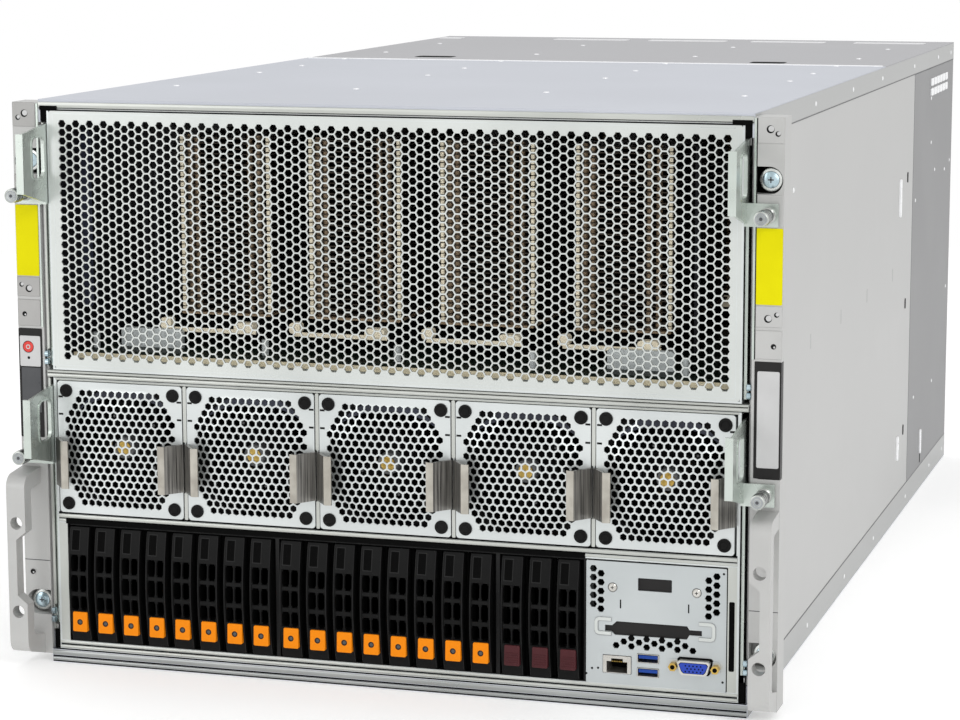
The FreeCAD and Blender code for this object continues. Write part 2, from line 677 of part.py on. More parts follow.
def tray_pan(name, low, high, start, depth, pivot):
    """Folded tray with upright sides and the pivot pins of its levers."""
    view = [(f"-{TRAY}", low), (TRAY, low), (TRAY, high), (TRAY_IN, high),
            (TRAY_IN, f"{low} + tray_steel"), (f"-{TRAY_IN}", f"{low} + tray_steel"),
            (f"-{TRAY_IN}", high), (f"-{TRAY}", high)]
    body = run_back(name + "_folded", [view], start, depth)
    return body, fuse(name + "_pinned", [body] + pivot_pins(name, pivot))


def gpu_tray():
    body, pan = tray_pan("gpu_pan", GPU_LOW, GPU_TOP, "0", "gpu_tray_depth", f"{GPU_LOW} + upper_pivot")
    sub_part(pan, "gpu_tray_pan")
    plate = grille_plate("door_plate", f"-{TRAY_IN}", DOOR_LOW, TRAY_IN, GPU_TOP, "tray_steel")
    rim = run_back("door_rim_ring",
                   [rectangle(f"-{TRAY_IN}", DOOR_LOW, TRAY_IN, GPU_TOP),
                    rectangle(f"-{TRAY_IN} + tray_steel", f"{DOOR_LOW} + tray_steel",
                              f"{TRAY_IN} - tray_steel", f"{GPU_TOP} - tray_steel")],
                   "tray_steel", "door_rim")
    sub_part(group("door_assembly", [plate, rim]), "gpu_door_grille")


def standoffs(name, half_width, front, back, foot):
    """Round posts in rows under the corners and middle of a board."""
    posts = []
    for column, across in enumerate((f"-{half_width}", "0", half_width)):
        for row, along in enumerate((front, f"({front} + {back})/2", back)):
            posts.append(rod(f"{name}_post_{column}_{row}", "z", across, along, foot,
                             "standoff_radius", "standoff"))
    return posts


def finned_block(name, x, y, z, width, length, base, height):
    """A cold plate with a row of upright fins along the air stream."""
    body = new_body(name)
    foot = sketch_on(body, name + "_foot", "XZ_Plane", [rectangle("0", "0", width, base)])
    pad(body, name + "_plate", foot, length, backwards=True)
    first = sketch_on(body, name + "_fin_view", "XZ_Plane", [rectangle("0", base, "fin", height)])
    fin = pad(body, name + "_fin", first, length, backwards=True)
    row = body.newObject("PartDesign::LinearPattern", name + "_fins")
    row.Originals = [fin]
    axis = [item for item in body.Origin.OriginFeatures if item.Role == "X_Axis"][0]
    row.Direction = (axis, [""])
    row.Occurrences = int(number(f"(({width}) - fin)/fin_pitch")) + 1
    bind(row, Length=f"{row.Occurrences - 1}*fin_pitch")
    body.Tip = row
    return place(body, x, y, z)


def gpu_boards():
    """Accelerator baseboard on its posts, and two rows of finned coolers on it."""
    foot = f"({GPU_LOW} + tray_steel)"
    top = f"({foot} + standoff + board)"
    front = "(door_rim + 2*tray_steel + standoff)"
    back = "(gpu_tray_depth - standoff)"
    half = f"({TRAY_IN} - standoff)"
    board = block("gpu_board_sheet", f"-{half}", front, f"{foot} + standoff", f"2*{half}",
                  f"{back} - {front}", "board")
    posts = standoffs("gpu_board", f"({half} - standoff)", f"({front} + standoff)",
                      f"({back} - standoff)", foot)
    sub_part(fuse("gpu_board", [board] + posts), "gpu_baseboard")
    coolers = []
    for row in range(2):
        for column in range(4):
            coolers.append(finned_block(
                f"gpu_cooler_{row}_{column}", f"{column - 1.5}*sink_pitch - sink_width/2",
                f"sink_front + {row}*sink_rows", top, "sink_width", "sink_length", "sink_base",
                f"{GPU_TOP} - sink_headroom - {top}"))
    sub_part(group("gpu_cooler_set", coolers), "gpu_heatsinks")


def system_tray():
    """Lower tray: sides, floor, front lip and the flanges beside the drives and ports."""
    body, pan = tray_pan("system_pan", SYSTEM_LOW, SYSTEM_TOP, "0", "system_tray_depth",
                         f"{SYSTEM_LOW} + lower_pivot")
    inner = f"({TRAY_IN} - tray_flange)"
    low = SYSTEM_LOW
    front = [(f"-{TRAY_IN}", low), (TRAY_IN, low), (TRAY_IN, CAGE_TOP), (inner, CAGE_TOP),
             (inner, f"{low} + tray_lip"), (f"-{inner}", f"{low} + tray_lip"),
             (f"-{inner}", CAGE_TOP), (f"-{TRAY_IN}", CAGE_TOP)]
    view = sketch_on(body, "system_front_view", "XZ_Plane", [front])
    pad(body, "system_front_flange", view, "tray_steel", backwards=True)
    sub_part(pan, "system_tray_pan")


def fan_columns():
    """Middles of the fans, spread evenly over the width of the cage, and the reach of an opening."""
    count = int(number(f"{FAN_ROW}/(fan_size + 2*fan_side_gap + divider)"))
    pitch = f"({FAN_ROW}/{count})"
    return [f"({column - (count - 1) / 2}*{pitch})" for column in range(count)], f"({pitch}/2 - divider/2)"


def fan_cage():
    """Sheet frame with one opening for each fan module and a front lip under them."""
    low, high = f"({FAN_FLOOR} - cage_steel)", SYSTEM_TOP
    openings = []
    columns, reach = fan_columns()
    for centre in columns:
        openings.append(rectangle(f"{centre} - {reach}", FAN_FLOOR, f"{centre} + {reach}",
                                  f"{high} - cage_steel"))
    outer = rectangle(f"-{TRAY_IN}", low, TRAY_IN, high)
    body = run_back("fan_cage_frame", [outer] + openings, "0", "fan_depth + fan_lip")
    lip = rectangle(f"-{TRAY_IN}", CAGE_TOP, TRAY_IN, FAN_FLOOR)
    pad(body, "fan_cage_lip", sketch_on(body, "fan_cage_lip_view", "XZ_Plane", [lip]),
        "tray_steel", backwards=True)
    sub_part(body, "fan_cage")


def fan_guard_shape():
    """Round field of hexagons in a square guard, centred on the fan's axis."""
    half = number("fan_size/2")
    pitch = number("guard_pitch")
    row_step = pitch * math.sqrt(3) / 2
    reach = number("plug_spacing/2")
    rows = int(reach / row_step)
    centres = []
    for row in range(-rows, rows + 1):
        up = row * row_step
        shift = 0.5 * (row % 2)
        for column in range(-rows - 1, rows + 1):
            across = (column + shift) * pitch
            if math.hypot(across, up) < reach + pitch / 4:
                centres.append((across, up))
    outline = [V(-half, 0, -half), V(half, 0, -half), V(half, 0, half), V(-half, 0, half)]
    return honeycomb(outline, centres, pitch, number("guard_bridge"), number("guard_steel"), 30)


def blade_section(radius, turn):
    """Slanted rectangle across a blade, in the plane square to its radius."""
    depth, thick = number("rotor_depth"), number("blade_thickness")
    chord = number("hub_radius*blade_twist*pi/180")
    lean = math.atan2(chord, depth * BLADE_SHARE)
    outward = V(math.cos(math.radians(turn)), 0, math.sin(math.radians(turn)))
    tangent = V(-outward.z, 0, outward.x)
    along = V(0, depth * BLADE_SHARE / 2, 0) + tangent * (chord / 2)
    side = (tangent * math.cos(lean) - V(0, math.sin(lean), 0)) * (thick / 2)
    middle = outward * radius + V(0, depth / 2, 0)
    corners = [middle - along - side, middle + along - side, middle + along + side, middle - along + side]
    return Part.makePolygon(corners + corners[:1])


def rotor_shape():
    """Hub with twisted, swept blades, each lofted from its root to its tip."""
    hub, depth = number("hub_radius"), number("rotor_depth")
    chord = number("hub_radius*blade_twist*pi/180") + number("blade_thickness")
    root = math.sqrt(hub ** 2 - chord ** 2) - number("blade_thickness")
    tip = math.sqrt(number("fan_size/2 - fan_wall - rotor_gap") ** 2 - (chord / 2) ** 2)
    axis = V(0, 1, 0)
    socket = Part.makeCylinder(number("shaft_radius + pin_gap"), depth / 2, axis * (depth / 2), axis)
    rotor = Part.makeCylinder(hub, depth, V(), axis)
    stations = (0, 0.5, 1)
    for blade in range(BLADES):
        sections = [blade_section(root + share * (tip - root),
                                  360 / BLADES * blade + share * number("blade_sweep"))
                    for share in stations]
        rotor = rotor.fuse(Part.makeLoft(sections, True, True))
    return rotor.cut(socket)


def spring_clip(name, side, centre):
    """Bent strip at one side of a fan that leans over the guard, with a turned-back lip."""
    edge = f"({centre} + {side}*(fan_size/2))"
    top = f"({edge} - {side}*clip_lean)"
    lip = f"({edge} - {side}*(clip_lean + clip_steel))"
    reach, sheet_in = "(-clip_reach)", "clip_steel"
    body = new_body(name)
    view = [(edge, "(-guard_steel)"), (top, reach), (lip, f"{reach} + 4*{sheet_in}"),
            (f"{lip} + {side}*{sheet_in}", f"{reach} + 4*{sheet_in}"),
            (f"{top} + {side}*{sheet_in}/2", f"{reach} + 2*{sheet_in}"),
            (f"{edge} - {side}*2*{sheet_in}", "(-guard_steel)")]
    sketch = sketch_on(body, name + "_plan", "XY_Plane", [view])
    pad(body, name + "_run", sketch, "clip_height")
    return place(body, z=f"{FAN_MIDDLE} - clip_height*0.9")


def fan_module(number_in_row, centre, guard, rotor):
    """One fan: frame with its bore and motor mount, guard, corner plugs, clips, and rotor."""
    name = f"fan_module_{number_in_row}"
    half = "fan_size/2"
    ring = run_back(name + "_frame",
                    [rectangle(f"{centre} - {half}", f"{FAN_MIDDLE} - {half}", f"{centre} + {half}",
                               f"{FAN_MIDDLE} + {half}")], "0", "fan_depth",
                    [(centre, FAN_MIDDLE, "fan_size/2 - fan_wall")])
    mount_front = "(rotor_set + rotor_depth + pin_gap)"
    motor = rod(name + "_motor", "y", centre, mount_front, FAN_MIDDLE, "hub_radius",
                f"fan_depth - {mount_front}")
    shaft = rod(name + "_shaft", "y", centre, "rotor_set + rotor_depth/2 + pin_gap", FAN_MIDDLE,
                "shaft_radius", "rotor_depth/2")
    struts = []
    for strut, (wide, high) in enumerate((("(fan_size - fan_wall)", "(3*fan_wall)"),
                                          ("(3*fan_wall)", "(fan_size - fan_wall)"))):
        struts.append(block(f"{name}_strut_{strut}", f"{centre} - {wide}/2", "fan_depth - 3*fan_wall",
                            f"{FAN_MIDDLE} - {high}/2", wide, "2*fan_wall", high))
    frame = fuse(name + "_housing", [ring, motor, shaft] + struts)
    plate = fixed_shape(name + "_guard", guard.copy())
    place(plate, x=centre, y="-guard_steel", z=FAN_MIDDLE)
    pieces = [frame, plate]
    for across in (-1, 1):
        for up in (-1, 1):
            pieces.append(rod(f"{name}_plug_{across + 1}_{up + 1}", "y",
                              f"{centre} + {across}*plug_spacing/2", "-2*guard_steel",
                              f"{FAN_MIDDLE} + {up}*plug_spacing/2", "plug_radius", "guard_steel"))
        pieces.append(spring_clip(f"{name}_clip_{across + 1}", across, centre))
    sub_part(group(name + "_set", pieces), name)
    turning = fixed_shape(f"fan_rotor_shape_{number_in_row}", rotor.copy())
    turning.Label = f"fan_rotor_{number_in_row}"
    place(turning, x=centre, y=f"{FRONT} + rotor_set", z=FAN_MIDDLE)
    parts.append(turning)


def fans():
    fan_cage()
    guard = fan_guard_shape()
    rotor = rotor_shape()
    columns, reach = fan_columns()
    for index, centre in enumerate(columns, start=1):
        fan_module(index, centre, guard, rotor)


def drive_places():
    """Left edge of each carrier: as many as the cage holds, in banks."""
    room = number(f"{CAGE_RIGHT} - {CAGE_LEFT}")
    lefts = []
    while True:
        index = len(lefts)
        offset = f"(drive_gap + {index}*{DRIVE_PITCH} + {index // BANK}*bank_gap)"
        if number(f"{offset} + drive_width + drive_gap") > room:
            return lefts
        lefts.append(f"({CAGE_LEFT} + {offset})")


def drive_cage(lefts):
    """Sheet cage with one opening for each bank of carriers, standing on the tray's floor."""
    low = f"({SYSTEM_LOW} + tray_steel)"
    ceiling = f"({CAGE_TOP} - cage_steel)"
    openings = []
    banks = [lefts[start:start + BANK] for start in range(0, len(lefts), BANK)]
    for bank in banks:
        right = CAGE_RIGHT if bank is banks[-1] else f"({bank[-1]} + drive_width + drive_gap)"
        openings.append(rectangle(f"{bank[0]} - drive_gap", CAGE_FLOOR, right, ceiling))
    left, right = f"({CAGE_LEFT} - cage_steel)", f"({CAGE_RIGHT} + cage_steel)"
    floor = f"({CAGE_FLOOR} - cage_steel)"
    outer = [(left, low), (f"{left} + cage_steel", low), (f"{left} + cage_steel", floor),
             (f"{right} - cage_steel", floor), (f"{right} - cage_steel", low), (right, low),
             (right, CAGE_TOP), (left, CAGE_TOP)]
    body = run_back("drive_cage_frame", [outer] + openings, "tray_steel", "cage_depth")
    sub_part(body, "drive_cage")


def drive_carrier(index, left):
    """Carrier with a bowed plastic front, two columns of openings, a release tab and its drive."""
    name = f"drive_carrier_{index:02d}"
    middle = f"({DRIVE_LOW} + drive_height/2)"
    front = block(name + "_front", left, "-drive_reach", DRIVE_LOW, "drive_width",
                  "drive_reach + bezel_depth", "drive_height")
    bow = rod(name + "_bow", "x", left, "bezel_curve - drive_reach", middle, "bezel_curve", "drive_width")
    bezel = doc.addObject("Part::Common", name + "_bowed")
    bezel.Base = front
    bezel.Tool = bow
    tools = []
    tab_top = f"({DRIVE_LOW} + tab_height + 3*bezel_wall)"
    pocket_height = f"((drive_height - tab_height - 3*bezel_wall)/4)"
    wide = "((drive_width - 3*bezel_wall)/2)"
    for column in range(2):
        for row in range(3):
            tools.append(block(f"{name}_opening_{column}_{row}",
                               f"{left} + bezel_wall + {column}*({wide} + bezel_wall)", "-drive_reach",
                               f"{tab_top} + {row}*{pocket_height}", wide, "drive_reach + bezel_depth/2",
                               f"{pocket_height} - bezel_wall"))
    tools.append(block(name + "_top_recess", f"{left} + bezel_wall", "-drive_reach",
                       f"{tab_top} + 3*{pocket_height}", "drive_width - 2*bezel_wall",
                       "drive_reach + bezel_wall", f"{pocket_height} - 2*bezel_wall"))
    tab = block(name + "_tab", f"{left} + 1.5*bezel_wall", "-drive_reach - tab_reach + bezel_wall",
                f"{DRIVE_LOW} + 2*bezel_wall", "drive_width - 3*bezel_wall",
                "drive_reach + tab_reach", "tab_height")
    shell = fuse(name + "_shell", [cut(name + "_pierced", bezel, tools), tab])
    drive = block(name + "_drive", f"{left} + drive_width/2 - drive_body/2", "bezel_depth",
                  f"{DRIVE_LOW} + bezel_wall", "drive_body", "drive_depth - bezel_depth",
                  "drive_height - 2*bezel_wall")
    sub_part(group(name + "_set", [shell, drive]), name)


def drives():
    lefts = drive_places()
    drive_cage(lefts)
    for index, left in enumerate(lefts, start=1):
        drive_carrier(index, left)


def on_panel(left, low, wide, high, clear="0"):
    """A rectangle on the port panel, widened all round by a clearance."""
    x, z = f"({PANEL_LEFT} + {left})", f"({CAGE_FLOOR} + {low})"
    return rectangle(f"{x} - {clear}", f"{z} - {clear}", f"{x} + {wide} + {clear}", f"{z} + {high} + {clear}")


def stepped_slot():
    """Outline of the long slot with narrower ends."""
    (left, low), (right, _), (_, high), _ = on_panel("latch_left", "latch_low", "latch_wide", "latch_high")
    mid_left, mid_right = f"{left} + latch_end", f"{right} - latch_end"
    mid_low, mid_high = f"{low} + latch_step", f"{high} - latch_step"
    return [(left, mid_low), (mid_left, mid_low), (mid_left, low), (mid_right, low), (mid_right, mid_low),
            (right, mid_low), (right, mid_high), (mid_right, mid_high), (mid_right, high),
            (mid_left, high), (mid_left, mid_high), (left, mid_high)]


def port_list():
    """Each port: name, left edge, underside, width, height, depth, height its foot stands on."""
    floor = f"({SYSTEM_LOW} + tray_steel - {CAGE_FLOOR})"
    return (("network", "network_left", "network_low", "network_wide", "network_high", "network_deep", floor),
            ("usb_lower", "usb_left", "usb_low", "usb_wide", "usb_high", "usb_deep", floor),
            ("usb_upper", "usb_left", "(usb_low + usb_rise)", "usb_wide", "usb_high", "usb_deep",
             "(usb_low + usb_high)"),
            ("video", "video_left", "video_low", "video_wide", "video_high", "video_deep", floor))


def port_panel():
    """Steel panel with the cut-outs of its ports, a window and a long stepped slot."""
    top = f"({CAGE_TOP} - 2*drive_gap)"
    right = PANEL_RIGHT
    cutouts = [on_panel(left, low, wide, high, "port_gap")
               for name, left, low, wide, high, deep, base in port_list()]
    cutouts.append(on_panel("cover_left", "cover_low", "cover_wide", "cover_high"))
    cutouts.append(stepped_slot())
    outer = rectangle(PANEL_LEFT, CAGE_FLOOR, right, top)
    body = run_back("port_panel", [outer] + cutouts, "0", "panel_steel")
    returns = [rectangle(PANEL_LEFT, CAGE_FLOOR, f"{PANEL_LEFT} + panel_steel", top),
               rectangle(f"{right} - panel_steel", CAGE_FLOOR, right, top)]
    pad(body, "port_panel_returns", sketch_on(body, "port_return_view", "XZ_Plane", returns),
        "panel_return", backwards=True)
    sub_part(body, "io_panel")


def port_blocks():
    """Socket shells on feet, with a small board behind the panel."""
    pieces = []
    feet = []
    for name, left, low, wide, high, deep, base in port_list():
        x, z = f"({PANEL_LEFT} + {left})", f"({CAGE_FLOOR} + {low})"
        shell = block(f"port_{name}_shell", x, "0", z, wide, deep, high)
        if name == "video":
            pieces.append(shell)
        else:
            hollow = block(f"port_{name}_hollow", f"{x} + port_shell/2", "0", f"{z} + port_shell/2",
                           f"{wide} - port_shell", f"{deep} - 2*port_shell", f"{high} - port_shell")
            pieces.append(cut(f"port_{name}", shell, [hollow]))
        feet.append(block(f"port_{name}_foot", x, "panel_return - standoff", f"{CAGE_FLOOR} + {base}", wide,
                          "2*standoff", f"{low} - {base}"))
    board = block("port_board", f"{PANEL_LEFT} + panel_steel + drive_gap", "panel_return + drive_gap",
                  CAGE_FLOOR, "panel_width - 2*panel_steel - 2*drive_gap", "cage_depth - panel_return",
                  "board")
    pieces.append(fuse("port_carrier", [board] + feet))
    sub_part(group("port_set", pieces), "io_ports")


def main_board():
    """Mainboard on its posts, with two processor coolers and the drives' connector board."""
    foot = f"({SYSTEM_LOW} + tray_steel)"
    front = "(cage_depth + 4*standoff)"
    back = "(system_tray_depth - standoff)"
    half = f"({TRAY_IN} - standoff)"
    board = block("main_board_sheet", f"-{half}", front, f"{foot} + standoff", f"2*{half}",
                  f"{back} - {front}", "board")
    posts = standoffs("main_board", f"({half} - standoff)", f"({front} + standoff)",
                      f"({back} - standoff)", foot)
    pieces = [fuse("main_board_posts", [board] + posts)]
    for side in (-1, 1):
        tag = "right" if side > 0 else "left"
        pieces.append(finned_block(f"processor_cooler_{tag}", f"{side}*{half}/2 - cooler_width/2",
                                   f"({front} + {back})/2 - cooler_width/2", f"{foot} + standoff + board",
                                   "cooler_width", "cooler_width", "sink_base", "cooler_height"))
    pieces.append(block("drive_connector_board", CAGE_LEFT, "cage_depth + tray_steel", foot,
                        f"{CAGE_RIGHT} - {CAGE_LEFT}", "board", f"{CAGE_TOP} - {foot}"))
    sub_part(group("main_board_set", pieces), "motherboard")


def lever(name, side, top, pivot):
    """Pull lever: arm on its pin, grip plate with a slot, folded front edge, foot and thumbscrew."""
    start = f"({TRAY} + lever_gap)"
    left, wide = span(side, start, f"{start} + lever_steel")
    back = "(pivot_set + lever_arm/2)"
    front = "(pivot_set - lever_arm/2)"
    foot = f"({top} - lever_grip)"
    outline = [(back, f"{pivot} - lever_arm/2"), (back, top), (front, top),
               ("-lever_reach", f"{top} - lever_slope"), ("-lever_reach", f"{foot} + lever_chamfer"),
               (front, foot), (front, f"{pivot} - lever_arm/2")]
    plate = run_across(name + "_plate", [outline], left, wide,
                       [("pivot_set", pivot, "pin_radius + pin_gap")])
    middle = f"({foot} + window_rise)"
    half_wide, half_high = "(window_width/2 - window_round)", "(window_height/2 - window_round)"
    tools = [block(name + "_slot", left, "-window_set - window_width/2", f"{middle} - {half_high}", wide,
                   "window_width", f"2*{half_high}"),
             block(name + "_slot_tall", left, f"-window_set - {half_wide}", f"{middle} - window_height/2",
                   wide, f"2*{half_wide}", "window_height")]
    for end, along, up in (("a", "-", "-"), ("b", "+", "-"), ("c", "-", "+"), ("d", "+", "+")):
        tools.append(rod(f"{name}_slot_{end}", "x", left, f"(-window_set {along} {half_wide})",
                         f"({middle} {up} {half_high})", "window_round", wide))
    slotted = cut(name + "_slotted", plate, tools)
    hem_right = start if side > 0 else f"-{start} - lever_steel"
    hem_left, hem_wide = f"{hem_right} - lever_hem", "lever_hem"
    hem = block(name + "_hem", hem_left, "-lever_reach", f"{foot} + lever_chamfer", hem_wide,
                "lever_steel", "lever_grip - lever_chamfer - lever_slope")
    foot_left, foot_wide = span(side, start, f"{start} + foot_width")
    tab = block(name + "_foot", foot_left, "-foot_set - lever_steel", foot, foot_wide, "lever_steel",
                "foot_height")
    across = f"{side}*{SCREW}"
    height = f"({foot} + foot_height/2)"
    bore = rod(name + "_foot_bore", "y", across, "-foot_set - lever_steel", height,
               "screw_radius + pin_gap", "lever_steel")
    bent = fuse(name + "_bent", [slotted, hem, cut(name + "_foot_bored", tab, [bore])])
    sleeve_end = "(-foot_set - lever_steel - thumb_stand)"
    screw = fuse(name + "_thumbscrew", [
        rod(name + "_thumb_tip", "y", across, "-foot_set - lever_steel", height, "screw_radius",
            "lever_steel"),
        rod(name + "_thumb_sleeve", "y", across, sleeve_end, height, "thumb_sleeve", "thumb_stand"),
        rod(name + "_thumb_head", "y", across, f"{sleeve_end} - thumb_head", height, "thumb_radius",
            "thumb_head")])
    sub_part(group(name + "_set", [bent, screw]), name)


def levers():
    for side, tag in ((-1, "left"), (1, "right")):
        lever(f"upper_lever_{tag}", side, f"({GPU_TOP} - lever_top_gap)", f"({GPU_LOW} + upper_pivot)")
        lever(f"lower_lever_{tag}", side, f"({SYSTEM_TOP} - lever_low_gap)",
              f"({SYSTEM_LOW} + lower_pivot)")


def power_supply(index, centre):
    """Power supply with an inlet and a grip at the back."""
    name = f"power_supply_{index}"
    low = "(steel + slide_gap + supply_gap)"
    back = "case_depth"
    left = f"({centre} - supply_width/2)"
    case = block(name + "_case", left, f"{back} - supply_depth", low, "supply_width", "supply_depth",
                 "supply_height")
    inlet = block(name + "_inlet", f"{left} + 2*supply_grip_bar", f"{back} - inlet_depth",
                  f"{low} + (supply_height - inlet_height)/2", "inlet_width", "inlet_depth", "inlet_height")
    grip_left = f"({left} + supply_width - 4*supply_grip_bar)"
    grip_low = f"({low} + (supply_height - supply_grip_height)/2)"
    grip = block(name + "_grip", grip_left, back, grip_low, "2*supply_grip_bar", "supply_grip_reach",
                 "supply_grip_height")
    gap = block(name + "_grip_gap", grip_left, back, f"{grip_low} + supply_grip_bar",
                "2*supply_grip_bar", "supply_grip_reach - supply_grip_bar",
                "supply_grip_height - 2*supply_grip_bar")
    bow = cut(name + "_bow", grip, [gap])
    sub_part(fuse(name + "_whole", [cut(name + "_pierced", case, [inlet]), bow]), name)


def build():
    fill_sheet()
    floor_pan()
    side_wall(-1, "side_wall_left")
    side_wall(1, "side_wall_right")
    cover("top_cover_front", "0", "cover_seam", True)
    cover("top_cover_rear", "(cover_seam + seam_gap)", "(case_depth - cover_seam - seam_gap)", False)
    tray_shelf()
    back_panel()
    back_grille()
    rack_ear(-1, "rack_ear_left")
    rack_ear(1, "rack_ear_right")
    control_panel()
    rack_screws()
    gpu_tray()
    gpu_boards()
    system_tray()
    main_board()
    fans()
    drives()
    port_panel()
    port_blocks()
    levers()
    for index, centre in enumerate(supply_centres(), start=1):
        power_supply(index, centre)
    doc.recompute()


def check():
    """Stop before anything is written if an object failed or a shape is not sound."""
    for thing in doc.Objects:
        if "Invalid" in thing.State or "Error" in thing.State:
            raise RuntimeError(f"{thing.Label} failed: {thing.State}")
    labels = [part.Label for part in parts]
    if len(set(labels)) != len(labels):
        raise RuntimeError("two sub-parts share a name")
    for part in parts:
        if part.Shape.isNull() or not part.Shape.isValid():
            raise RuntimeError(f"{part.Label} has no sound shape")


def write():
    os.makedirs("parts", exist_ok=True)
    for part in parts:
        part.Shape.exportStep(os.path.join("parts", part.Label + ".step"))


build()
check()
write()
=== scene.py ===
from math import cos, pi, radians, sin, sqrt
import bmesh
import bpy
from mathutils import Matrix, Vector
from mathutils.geometry import tessellate_polygon


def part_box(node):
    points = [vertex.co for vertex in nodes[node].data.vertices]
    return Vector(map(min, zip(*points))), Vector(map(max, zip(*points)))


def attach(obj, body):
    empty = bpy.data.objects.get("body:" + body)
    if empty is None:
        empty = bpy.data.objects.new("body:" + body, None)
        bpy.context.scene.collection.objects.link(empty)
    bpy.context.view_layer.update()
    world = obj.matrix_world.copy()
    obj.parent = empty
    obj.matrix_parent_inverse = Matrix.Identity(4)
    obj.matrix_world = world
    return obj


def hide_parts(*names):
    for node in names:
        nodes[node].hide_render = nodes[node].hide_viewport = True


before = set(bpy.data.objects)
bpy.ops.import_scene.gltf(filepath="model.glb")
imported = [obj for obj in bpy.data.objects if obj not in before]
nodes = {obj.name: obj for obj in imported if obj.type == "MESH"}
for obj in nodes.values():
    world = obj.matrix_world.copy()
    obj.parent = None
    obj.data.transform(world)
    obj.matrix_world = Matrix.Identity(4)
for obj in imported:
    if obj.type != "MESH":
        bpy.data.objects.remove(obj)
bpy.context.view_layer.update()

# Lengths below are millimetres; y counts backwards from the front of the rack ears
MM = 0.001
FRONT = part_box("gpu_tray_pan")[0].y
FANS = range(1, 6)
FAN_PITCH = 86.7
FAN_MIDDLE = 139.2
FAN_SIZE = 83.4
CLIP_LOW = 115.2
CLIP_HIGH = 145.2
DRIVES = range(1, 20)
DRIVE_LOW = 15.0
DRIVE_HIGH = 88.4
ORANGE_TABS = 16
CASE_TOP = 355.6
CASE_HALF = 223.75
CASE_BACK = 834.0
SCREW_ACROSS = 232.55
SCREW_HEIGHTS = (38.1, 317.5)
BUTTON = (-234.65, 201.3)
LEVER_FEET = (("upper", 291.1), ("lower", 128.0))
BOARD_TOP = 19.2
SIDES = (-1, 1)


def at(x, y, z):
    return Vector((x * MM, FRONT + y * MM, z * MM))


def span(side, near, far):
    """Left and right limit of a stretch between two distances from the middle, on one side."""
    return tuple(sorted((side * near, side * far)))


def around(middle, half):
    return (middle - half, middle + half)


# Materials


def new_material(name):
    material = bpy.data.materials.new(name)
    material.use_nodes = True
    tree = material.node_tree
    return material, tree, tree.nodes["Principled BSDF"]


def fill(node, **values):
    """Sets inputs of a node; an underscore in a keyword stands for a space."""
    for socket, value in values.items():
        node.inputs[socket.replace("_", " ")].default_value = value
    return node


def through(tree, kind, source, into, out, **values):
    """Leads a value through a new node and returns what comes out."""
    node = fill(tree.nodes.new(kind), **values)
    tree.links.new(source, node.inputs[into])
    return node.outputs[out]


def grain(tree, scale, stretch=(1, 1, 1), detail=4):
    """Noise over the piece's own coordinates, stretched along an axis for brushed metal."""
    coords = tree.nodes.new("ShaderNodeTexCoord").outputs["Object"]
    stretched = through(tree, "ShaderNodeMapping", coords, "Vector", "Vector", Scale=stretch)
    return through(tree, "ShaderNodeTexNoise", stretched, "Vector", "Fac", Scale=scale, Detail=detail)


def ramp(tree, factor, dark, light):
    node = tree.nodes.new("ShaderNodeValToRGB")
    for stop, position, colour in zip(node.color_ramp.elements, (0.35, 0.65), (dark, light)):
        stop.position = position
        stop.color = (*colour, 1)
    tree.links.new(factor, node.inputs["Fac"])
    return node.outputs["Color"]


def coat(name, dark, light, rough, metallic=0.0, scale=40, fine=900, stretch=(1, 1, 1), bump=0.15,
         depth=0.00005, shine=0.5, glow=0.0):
    """A surface with slow colour change, fine grain and uneven gloss; light may be the lift over dark."""
    if isinstance(light, float):
        light = [tone + light for tone in dark]
    material, tree, shader = new_material(name)
    slow = grain(tree, scale, stretch)
    quick = grain(tree, fine, stretch, detail=2)
    tree.links.new(ramp(tree, slow, dark, light), shader.inputs["Base Color"])
    gloss = through(tree, "ShaderNodeMapRange", slow, "Value", "Result", From_Min=0.3, From_Max=0.7,
                    To_Min=rough[0], To_Max=rough[1])
    tree.links.new(gloss, shader.inputs["Roughness"])
    relief = through(tree, "ShaderNodeBump", quick, "Height", "Normal", Strength=bump, Distance=depth)
    tree.links.new(relief, shader.inputs["Normal"])
    fill(shader, Metallic=metallic, Specular_IOR_Level=shine, Emission_Color=(*light, 1),
         Emission_Strength=glow)
    return material


def sheet(name, dark, light, rough, metallic, scale=12):
    """Smooth metal."""
    return coat(name, dark, light, rough, metallic, scale, fine=300, bump=0.02, depth=0.00002)


SOFT = {"fine": 2400, "bump": 0.2}
PAINT = {"fine": 1600, "bump": 0.06}

CASE = sheet("case_steel", (0.5, 0.52, 0.57), 0.04, (0.48, 0.58), 0.25, 6)
REAR = sheet("rear_cover_steel", (0.37, 0.37, 0.385), 0.04, (0.46, 0.56), 0.3, 6)
BACK_SIDE = sheet("rear_side_steel", (0.215, 0.215, 0.22), 0.03, (0.4, 0.5), 0.3, 6)
SIDE = sheet("side_steel", (0.47, 0.47, 0.463), 0.05, (0.38, 0.5), 0.3, 6)
BAND = sheet("flange_steel", (0.4, 0.405, 0.4), 0.04, (0.36, 0.46), 0.35, 6)
# Near-white for rivets, pressed dots, hooks and vents: real rivets with painted glints.
RIVET_AND_GLINT = sheet("rivet", (0.9, 0.91, 0.92), 0.05, (0.2, 0.3), 0.1, 90)
EDGE = sheet("edge_strip", (0.7, 0.7, 0.71), 0.06, (0.4, 0.5), 0.1, 90)
TRAY = sheet("tray_steel", (0.55, 0.58, 0.575), 0.09, (0.26, 0.38), 0.55)
PORT_SHEET = sheet("port_sheet", (0.45, 0.48, 0.485), 0.06, (0.28, 0.38), 0.5)
DOOR = sheet("door_steel", (0.545, 0.57, 0.55), 0.06, (0.28, 0.38), 0.45)
LIP = sheet("lip_steel", (0.46, 0.475, 0.445), 0.07, (0.26, 0.36), 0.6)
FLOOR_LIP = sheet("floor_lip", (0.32, 0.335, 0.33), 0.06, (0.26, 0.36), 0.7)
